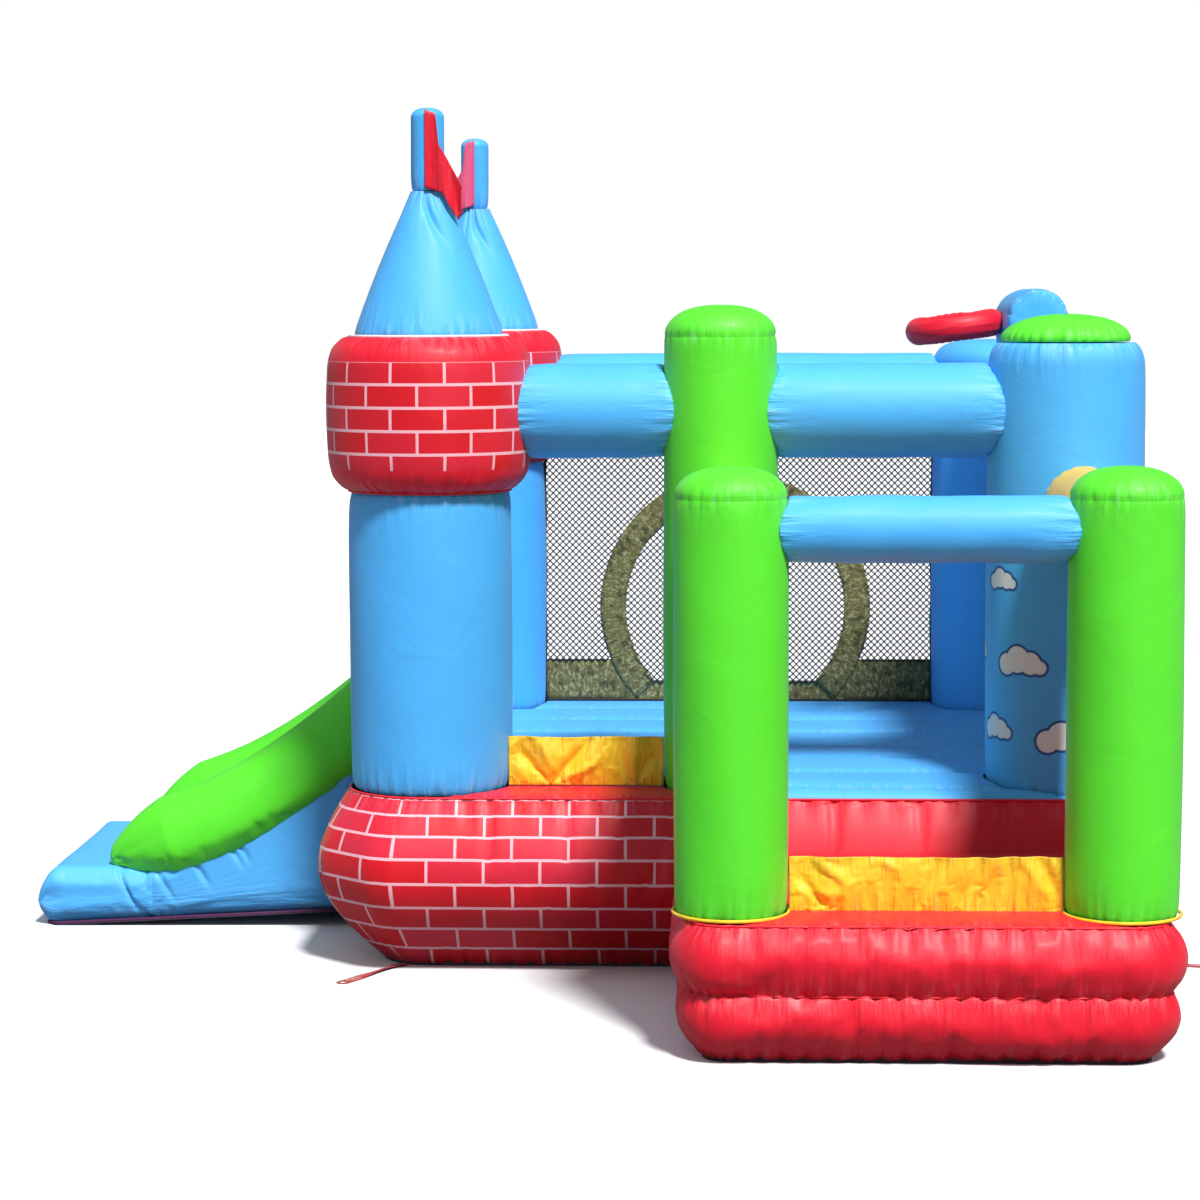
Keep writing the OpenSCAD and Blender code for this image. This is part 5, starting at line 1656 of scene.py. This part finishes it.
def bolster(side, y):
    """A curved side bolster with a blunt gathered nose that droops onto the landing pad."""
    r = bolster_r
    nose = 0.222
    count = 84
    rows, seams = [], []
    place = np.arange(count) / count
    y_mid = abs(y)
    way = []
    for t in np.linspace(0, 1, 26):                    # nose, from its tip
        back = nose * (1 - t)
        size = (0.034 + (r - 0.034) * t ** 0.62) * (1 - (1 - min(t / 0.14, 1)) ** 2.2) ** 0.5
        way.append((BOLSTER_LOW, back, max(float(size), 0.006)))
    for a in np.linspace(BOLSTER_LOW, BOLSTER_TOP, 64)[1:]:
        way.append((a, 0.0, r))
    total = nose + ride_r * (BOLSTER_TOP - BOLSTER_LOW)
    pad_top = float(on_arc(arc_x + ARC_R * math.sin(FOOT))) + SEAM_GAP
    pad_edge = pad_hi[1] - 0.040
    limit = -wall_x - SEAM_GAP
    for a, back, size in way:
        centre = np.array([arc_x + ride_r * math.sin(a), y, arc_z - ride_r * math.cos(a)])
        tangent = np.array([math.cos(a), 0, math.sin(a)])
        upward = np.array([-math.sin(a), 0, math.cos(a)])
        centre = centre - tangent * back - np.array([0, 0, 0.034]) * (back / nose) ** 2
        d = (nose - back) if back > 0 else nose + ride_r * (a - BOLSTER_LOW)
        cut = pleats(place, np.array(d), 0.011, 0.10, 20, 530) + pleats(place, np.array(total - d), 0.008,
                                                                        0.06, 14, 531)
        cross = pleats(np.array([d / total]), np.array([0.0]), 0.0020, 0.05, 14, 532 + (y > 0))[0]
        cut = cut + cross * (np.exp(-((place - 0.62) / 0.12) ** 2) + np.exp(-((place - 0.88) / 0.10) ** 2))
        cut = cut - 0.0012 * waves(place + 0.4 * d, (2, 3, 4), 533) + 0.030 * math.exp(-(total - d) / 0.022)
        rr = np.maximum(size - cut * min(1, size / r), 0.003)
        angle = TAU * place
        spots = centre + rr[:, None] * (np.cos(angle)[:, None] * np.array([0, 1.0, 0])
                                        + np.sin(angle)[:, None] * upward)
        # its outer underside sags over the ramp's shoulder
        outer = smooth((np.abs(spots[:, 1]) - y_mid) / (0.8 * r)) * smooth(0.6 - np.sin(angle))
        sag = math.sin(math.pi * min(d / total, 1)) ** 0.8
        spots[:, 2] -= 0.052 * sag * outer
        spots[:, 1] += 0.014 * sag * outer * np.sign(y)
        # flat where it rests on the pad, and hanging a little over the pad's edge
        over = smooth((np.abs(spots[:, 1]) - pad_edge) / 0.04)
        spots[:, 2] = np.maximum(spots[:, 2], pad_top - 0.040 * over)
        # its inner end stands upright against the base
        upright = float(smooth(np.array(1 - (total - d) / 0.35)))
        spots = spots + (upright * (limit - spots[:, 0]) / math.cos(a))[:, None] * tangent
        spots[:, 0] = np.minimum(spots[:, 0], limit)
        rows.append(spots)
        seams.append(np.full(count, min(d, total - d) + 0.004))
    piece = skin(f"{side}_bolster_cloth", "green_fabric", green, rows, f"{side}_bolster",
                 ends=("pole", "cap"),
                 seam=np.array(seams))
    inflate(piece, 2.5, 0.03, 0.006, row_pins(piece, len(rows), count))


# ---------------------------------------------------------------- straps, zip, sleeve

def anchor_strap(corner):
    """A webbing strap folded back on itself round a brass eyelet, on the ground."""
    node = f"anchor_strap_{corner}"
    record = frame["record"]
    mount = next(m for m in record["mounts"] if m["name"] == f"stake_eye_{corner}")
    joint = next(j for j in frame["joints"] if j["name"] == f"strap_{corner}_lift")
    eye = np.array(mount["pos_m"])
    root = np.array(joint["pos_m"])
    way = eye - root
    way[2] = 0
    length = np.linalg.norm(way)
    way /= length
    side = np.array([-way[1], way[0], 0])
    half, thick = 0.020, 0.0030
    count = 60
    rows = []
    section = [(-1, -1), (0, -1), (1, -1), (1, 1), (0, 1.15), (-1, 1)]
    for i in range(count + 1):
        t = i / count
        d = (length + half) * t
        wide = half
        if d > length:
            wide = math.sqrt(max(half ** 2 - (d - length) ** 2, 1e-6))
        # the strap leaves the base with a slight twist that dies out before its stake eye
        roll = 0.28 * math.sin(math.pi * min(t / 0.72, 1)) ** 1.5
        narrow = 1 - 0.30 * math.sin(math.pi * min(t / 0.72, 1)) ** 2
        spot = root + way * d
        spot[2] = thick / 2 + wide * narrow * math.sin(roll)
        across = side * math.cos(roll) + np.array([0, 0, math.sin(roll)])
        normal = np.cross(across, way) * -1
        rows.append([spot + across * wide * narrow * a + normal * thick / 2 * b
                     * np.sign(normal[2] or 1) for a, b in section])
    strap = skin(f"{node}_webbing", "red_webbing", red_strap, rows, node, body=node)
    eye_hole(strap, eye, mount["dims"]["r_mm"] / 1000)
    # brass eyelet pressed into the webbing
    ring = []
    r = mount["dims"]["r_mm"] / 1000
    for i in range(41):
        a = TAU * i / 40
        row = []
        for k in range(12):
            b = TAU * k / 12
            rr = r + 0.0022 + 0.0022 * math.cos(b)
            row.append((eye[0] + rr * math.cos(a), eye[1] + rr * math.sin(a),
                        0.0015 + 0.0022 * math.sin(b) * 0.65))
        ring.append(row)
    skin(f"{node}_eyelet", "zip_metal", brass, ring, ends=("open", "open"), body=node)
    # box stitch where the strap is doubled
    stitches(f"{node}_stitches", eye - way * 0.075, way, side, node)


def eye_hole(piece, eye, r):
    """Opens the strap where the eyelet sits."""
    bm = bmesh.new()
    ring = bmesh.ops.create_cone(bm, cap_ends=True, segments=40, radius1=r + 0.001, radius2=r + 0.001,
                                 depth=0.02)
    bmesh.ops.translate(bm, verts=ring["verts"], vec=Vector(eye))
    mesh = built(bm, "eye cutter")
    cutter = bpy.data.objects.new("eye_cutter", mesh)
    bpy.context.collection.objects.link(cutter)
    cut = piece.modifiers.new("eye", "BOOLEAN")
    cut.operation = "DIFFERENCE"
    cut.solver = "EXACT"
    cut.object = cutter
    bpy.context.view_layer.update()
    shaped = bpy.data.meshes.new_from_object(piece.evaluated_get(bpy.context.evaluated_depsgraph_get()))
    piece.modifiers.clear()
    old = piece.data
    piece.data = shaped
    bpy.data.meshes.remove(old)
    bpy.data.objects.remove(cutter)


def stitches(name, start, way, side, body):
    """A sewn box with a cross, drawn in short raised threads."""
    w, l = 0.014, 0.045
    corners = [(-w, 0), (w, 0), (w, l), (-w, l)]
    runs = [(corners[i], corners[(i + 1) % 4]) for i in range(4)] + [(corners[0], corners[2]),
                                                                     (corners[1], corners[3])]
    out = bmesh.new()
    for (a, b) in runs:
        p = start + side * a[0] + way * a[1]
        q = start + side * b[0] + way * b[1]
        count = max(3, int(np.linalg.norm(q - p) / 0.005))
        for i in range(count):
            c = p + (q - p) * (i + 0.5) / count
            d = (q - p) / np.linalg.norm(q - p)
            across = np.cross(d, [0, 0, 1.0])
            z = 0.0033
            quad = [c - d * 0.0016 - across * 0.0005, c + d * 0.0016 - across * 0.0005,
                    c + d * 0.0016 + across * 0.0005, c - d * 0.0016 + across * 0.0005]
            low = [out.verts.new((v[0], v[1], z - 0.0005)) for v in quad]
            mid = [out.verts.new((v[0] * 0.5 + c[0] * 0.5, v[1] * 0.5 + c[1] * 0.5,
                                  z + 0.0004)) for v in quad]
            out.faces.new(low[::-1])
            out.faces.new(mid)
            for k in range(4):
                out.faces.new((low[k], low[(k + 1) % 4], mid[(k + 1) % 4], mid[k]))
    mesh = built(out, name)
    finish_piece(name, mesh, "red_webbing", thread, body=body)


TOOTH_PITCH = 0.004


def zip_tape():
    """Two woven tapes with a row of coil teeth, on a flap that joins the wall."""
    lo, hi = box("deflate_zip_tape")
    y = lo[1]
    z = (lo[2] + hi[2]) / 2
    xs = np.linspace(lo[0] - 0.012, hi[0] + 0.012, 60)
    inner = wall_y + float(wall_offset(z)) + 0.001
    rows = []
    for dz, push in ((-0.034, 0.0), (-0.026, 0.5), (-0.017, 1.0), (-0.004, 1.05), (0.004, 1.05), (0.017, 1.0),
                     (0.026, 0.5), (0.034, 0.0)):
        depth = inner + (y + 0.0015 - inner) * push
        rows.append(np.stack([xs, np.full(60, depth) + 0.0006 * waves(np.linspace(0, 1, 60), (3, 7), 600),
                              np.full(60, z + dz)], 1))
    piece = skin("deflate_zip_cloth", "zip_tape", black_tape, rows, "deflate_zip_tape", closed=False)
    thicken(piece, 0.0015)
    # teeth
    out = bmesh.new()
    count = int((hi[0] - lo[0]) / TOOTH_PITCH)
    for i in range(count):
        x = lo[0] + TOOTH_PITCH + i * TOOTH_PITCH
        side = 1 if i % 2 else -1
        ring = bmesh.ops.create_cone(out, cap_ends=True, segments=8, radius1=0.0013, radius2=0.0011,
                                     depth=0.0052)
        for v in ring["verts"]:
            v.co = Vector((x + v.co.x, y + 0.0028 + v.co.y * 0.9, z + side * 0.0012 + v.co.z))
    mesh = built(out, "deflate_zip_teeth")
    finish_piece("deflate_zip_teeth", mesh, "zip_tape", teeth)


def inlet_sleeve():
    """The air sleeve: gathered at the wall, wrinkled along its length and cinched on the nozzle."""
    lo, hi = box("inlet_sleeve")
    cx, cz = (lo[0] + hi[0]) / 2, (lo[2] + hi[2]) / 2
    r = (hi[0] - lo[0]) / 2
    strap_lo, strap_hi = box("sleeve_strap")
    cinch = (strap_lo[1] + strap_hi[1]) / 2
    start = wall_y + float(wall_offset(cz)) + 0.003
    count = 84
    place = np.arange(count) / count
    rows = []
    for t in np.linspace(0, 1, 90):
        yy = start + (hi[1] - start) * t
        d0, dc = yy - start, abs(yy - cinch)
        flare = 0.010 * math.exp(-d0 / 0.03)
        cut = pleats(place, np.array(d0), 0.010, 0.12, 20, 610) + pleats(place, np.array(dc), 0.006, 0.10,
                                                                         24, 611)
        ring_fold = pleats(np.array([t]), np.array([0.0]), 0.004, 0.05, 16,
                           612)[0] * (0.5 + 0.5 * np.sin(TAU * place + 9 * t))
        waist = 0.0015 * math.exp(-(dc / 0.02) ** 2)
        rr = r - 0.001 + flare - cut - ring_fold - waist
        a = TAU * place
        rows.append(np.stack([cx - rr * np.cos(a), np.full(count, yy), cz + rr * np.sin(a)], 1))
    piece = skin("inlet_sleeve_cloth", "red_fabric", red, rows, "inlet_sleeve", ends=("open", "open"))
    thicken(piece, 0.0015)
    # cinch strap: webbing band with a side-release buckle
    band = []
    for k in range(61):
        a = TAU * k / 60
        row = []
        for off, rise in ((-0.0125, 0.0008), (-0.0125, 0.0028), (0.0, 0.0034), (0.0125, 0.0028),
                          (0.0125, 0.0008)):
            rr = r + 0.0015 + rise
            row.append((cx + rr * math.sin(a), cinch + off, cz + rr * math.cos(a)))
        band.append(row)
    skin("sleeve_strap_webbing", "black_webbing", black_tape, band, "sleeve_strap", ends=("open", "open"))
    buckle("sleeve_strap_buckle", cx, cinch, cz + r + 0.0055)


def rounded_block(bm, centre, size, bevel, segments=3):
    made = bmesh.ops.create_cube(bm, size=1.0)
    for v in made["verts"]:
        v.co = Vector((centre[0] + v.co.x * size[0], centre[1] + v.co.y * size[1],
                       centre[2] + v.co.z * size[2]))
    edges = list({e for v in made["verts"] for e in v.link_edges})
    bmesh.ops.bevel(bm, geom=edges, offset=bevel, segments=segments, profile=0.5, affect="EDGES")


def buckle(name, x, y, z):
    out = bmesh.new()
    rounded_block(out, (x - 0.009, y, z + 0.004), (0.020, 0.030, 0.008), 0.0022)
    rounded_block(out, (x + 0.011, y, z + 0.004), (0.016, 0.026, 0.007), 0.0020)
    for s in (-1, 1):
        rounded_block(out, (x + 0.001, y + s * 0.0125, z + 0.004), (0.012, 0.004, 0.005), 0.0012)
    mesh = built(out, name)
    finish_piece(name, mesh, "grip_plastic", grip)


# ---------------------------------------------------------------- blower

def screw(out, centre, axis_x, r=0.0045):
    """A pan-head screw with a cross recess, facing along X."""
    profile = [(0.0, 0.0030), (0.45 * r, 0.0029), (0.8 * r, 0.0022), (r, 0.0008), (r, 0.0)]
    count = 24
    rings = []
    for radius, height in profile:
        ring = []
        for i in range(count):
            a = TAU * i / count
            slot = 0.0012 if radius < 0.6 * r and min(abs(math.sin(2 * a)), 1) < 0.45 else 0.0
            ring.append(out.verts.new((centre[0] + axis_x * (height - slot), centre[1] + radius * math.cos(a),
                                       centre[2] + radius * math.sin(a))))
        rings.append(ring)
    for low, high in zip(rings, rings[1:]):
        for i in range(count):
            k = (i + 1) % count
            out.faces.new((low[i], low[k], high[k], high[i]))
    out.faces.new(rings[-1])
    bmesh.ops.remove_doubles(out, verts=rings[0], dist=1e-6)


def blower():
    yellow_shell = moulded("blower_yellow", rgb(246, 178, 20), 0.40, clear=0.08)
    dark_metal = metal("motor_paint", rgb(44, 45, 48), 0.45, 0.6)
    for node in ("blower_inlet_shell", "blower_motor_shell"):
        repaint(node, yellow_shell)
    repaint("blower_motor", dark_metal)
    repaint("blower_impeller", moulded("impeller_black", rgb(38, 38, 41), 0.5))
    repaint("blower_inlet_guard", metal("guard_paint", rgb(30, 30, 32), 0.38, 0.7))
    repaint("blower_switch", moulded("switch_red", rgb(200, 18, 18), 0.25, 600.0, 0.4))
    repaint("blower_handle", grip)
    repaint("blower_cable", moulded("cable_black", rgb(22, 22, 23), 0.55, 700.0))
    steel = metal("zip_nickel", rgb(190, 190, 194), 0.28)
    repaint("deflate_zip_slider", steel)
    repaint("deflate_zip_pull", steel)
    # screws in the casing's bosses
    left = box("blower_inlet_shell")[0][0]
    right = box("blower_motor_shell")[1][0]
    shaft = frame_joint("impeller_spin")["pos_m"]
    ring_r = 0.155
    boss_half = 0.022
    out = bmesh.new()
    for degrees in (-50, 20, 90, 150):
        a = math.radians(degrees)
        spot = (shaft[0], shaft[1] + ring_r * math.cos(a), shaft[2] + ring_r * math.sin(a))
        for s in (-1, 1):
            screw(out, (spot[0] + s * boss_half, spot[1], spot[2]), s)
    mesh = built(out, "casing_screws")
    finish_piece("casing_screws", mesh, "zip_metal", steel)
    # rubber pads under the feet
    pads = bmesh.new()
    for y in (shaft[1] - 0.085, shaft[1] + 0.085):
        for x in (left + 0.020, right - 0.020):
            rounded_block(pads, (x, y, 0.004), (0.034, 0.044, 0.008), 0.0025)
    mesh = built(pads, "foot_pads")
    finish_piece("foot_pads", mesh, "grip_plastic", grip)


def frame_joint(name):
    return next(j for j in frame["joints"] if j["name"] == name)


def repaint(node, material):
    piece = frame["nodes"][node]
    piece.data.materials.clear()
    piece.data.materials.append(material)


brass = metal("eyelet_brass", rgb(196, 158, 84), 0.30)
thread = moulded("thread_white", rgb(240, 232, 230), 0.7)
teeth = moulded("zip_coil", rgb(34, 34, 36), 0.4)
grip = moulded("grip_black", rgb(32, 32, 34), 0.5)

base_wall()
jump_floor()
entry_step()
floor_baffles()
ground_sheet()
tower("front_left", 1)
tower("back_left", 5)
flag("front_flag", 0.0, 1, red)
flag("back_flag", 1.7, -1, pink)
middle_column()
right_columns()
rails()
nets()
net_bands()
sill("entry_threshold_cloth", "entry_threshold", 220, ENTRY_FOLDS, low=0.018)
sill("porch_threshold_cloth", "porch_threshold", 230, PORCH_FOLDS)
hoop()
porch()
slide()
for corner in ("front_left", "back_left", "back_right", "front_right"):
    anchor_strap(corner)
zip_tape()
inlet_sleeve()
blower()
run_cloth()


# ---------------------------------------------------------------- stage, light and camera

PAPER_REACH = 40.0
SUN_STRENGTH = 4.5
SUN_WIDTH = 9                       # degrees, for soft edges to the shadows
SUN_AZIMUTH, SUN_ELEVATION = 25, 56


def stage():
    mesh = bpy.data.meshes.new("studio_floor")
    reach = PAPER_REACH
    mesh.from_pydata([(-reach, -reach, 0), (reach, -reach, 0), (reach, reach, 0), (-reach, reach, 0)], [],
                     [(0, 1, 2, 3)])
    paper = Shader("studio_paper")
    seen = paper.node("ShaderNodeLightPath")
    paper.set(Base_Color=paper.mix(seen, (0.17, 0.17, 0.18, 1.0), (0.92, 0.92, 0.93, 1.0)), Roughness=0.8)
    mesh.materials.append(paper.mat)
    floor = bpy.data.objects.new("studio_floor", mesh)
    bpy.context.collection.objects.link(floor)


def lights():
    """A high key light from the front right, and a soft fill from all round."""
    world = bpy.data.worlds.new("studio")
    world.use_nodes = True
    tree = world.node_tree
    fill = tree.nodes["Background"]
    fill.inputs[0].default_value = (0.82, 0.92, 1.0, 1.0)
    fill.inputs[1].default_value = 0.46
    dim = tree.nodes.new("ShaderNodeBackground")
    dim.inputs[0].default_value = (0.14, 0.15, 0.16, 1.0)
    seen = tree.nodes.new("ShaderNodeBackground")
    seen.inputs[0].default_value = (1.0, 1.0, 1.0, 1.0)
    path = tree.nodes.new("ShaderNodeLightPath")
    shine = tree.nodes.new("ShaderNodeMixShader")
    tree.links.new(path.outputs["Is Glossy Ray"], shine.inputs[0])
    tree.links.new(fill.outputs[0], shine.inputs[1])
    tree.links.new(dim.outputs[0], shine.inputs[2])
    both = tree.nodes.new("ShaderNodeMixShader")
    tree.links.new(path.outputs["Is Camera Ray"], both.inputs[0])
    tree.links.new(shine.outputs[0], both.inputs[1])
    tree.links.new(seen.outputs[0], both.inputs[2])
    tree.links.new(both.outputs[0], tree.nodes["World Output"].inputs["Surface"])
    bpy.context.scene.world = world
    data = bpy.data.lights.new("key", "SUN")
    data.energy = SUN_STRENGTH
    data.angle = math.radians(SUN_WIDTH)
    key = bpy.data.objects.new("key", data)
    azimuth, elevation = math.radians(SUN_AZIMUTH), math.radians(SUN_ELEVATION)
    towards = Vector((math.sin(azimuth) * math.cos(elevation), -math.cos(azimuth) * math.cos(elevation),
                      math.sin(elevation)))
    key.rotation_euler = towards.to_track_quat("Z", "Y").to_euler()
    bpy.context.collection.objects.link(key)


LENS, SENSOR = 94.045, 36.0         # mm
EYE = (-0.0664, -10.659, 2.057)
PITCH, YAW, ROLL = 5.446, 2.291, -0.179     # degrees: down, to the left, and about the view


def camera():
    """The photograph's view: a long lens from the front, a little above the rails."""
    data = bpy.data.cameras.new("camera")
    data.lens, data.sensor_width = LENS, SENSOR
    eye = bpy.data.objects.new("camera", data)
    eye.location = EYE
    pitch, yaw, roll = math.radians(PITCH), math.radians(YAW), math.radians(ROLL)
    aim = Euler((math.pi / 2 - pitch, 0, yaw)).to_matrix() @ Matrix.Rotation(roll, 3, "Z")
    eye.rotation_euler = aim.to_euler()
    bpy.context.collection.objects.link(eye)
    bpy.context.scene.camera = eye


stage()
lights()
camera()
bpy.context.scene.view_settings.view_transform = "Standard"
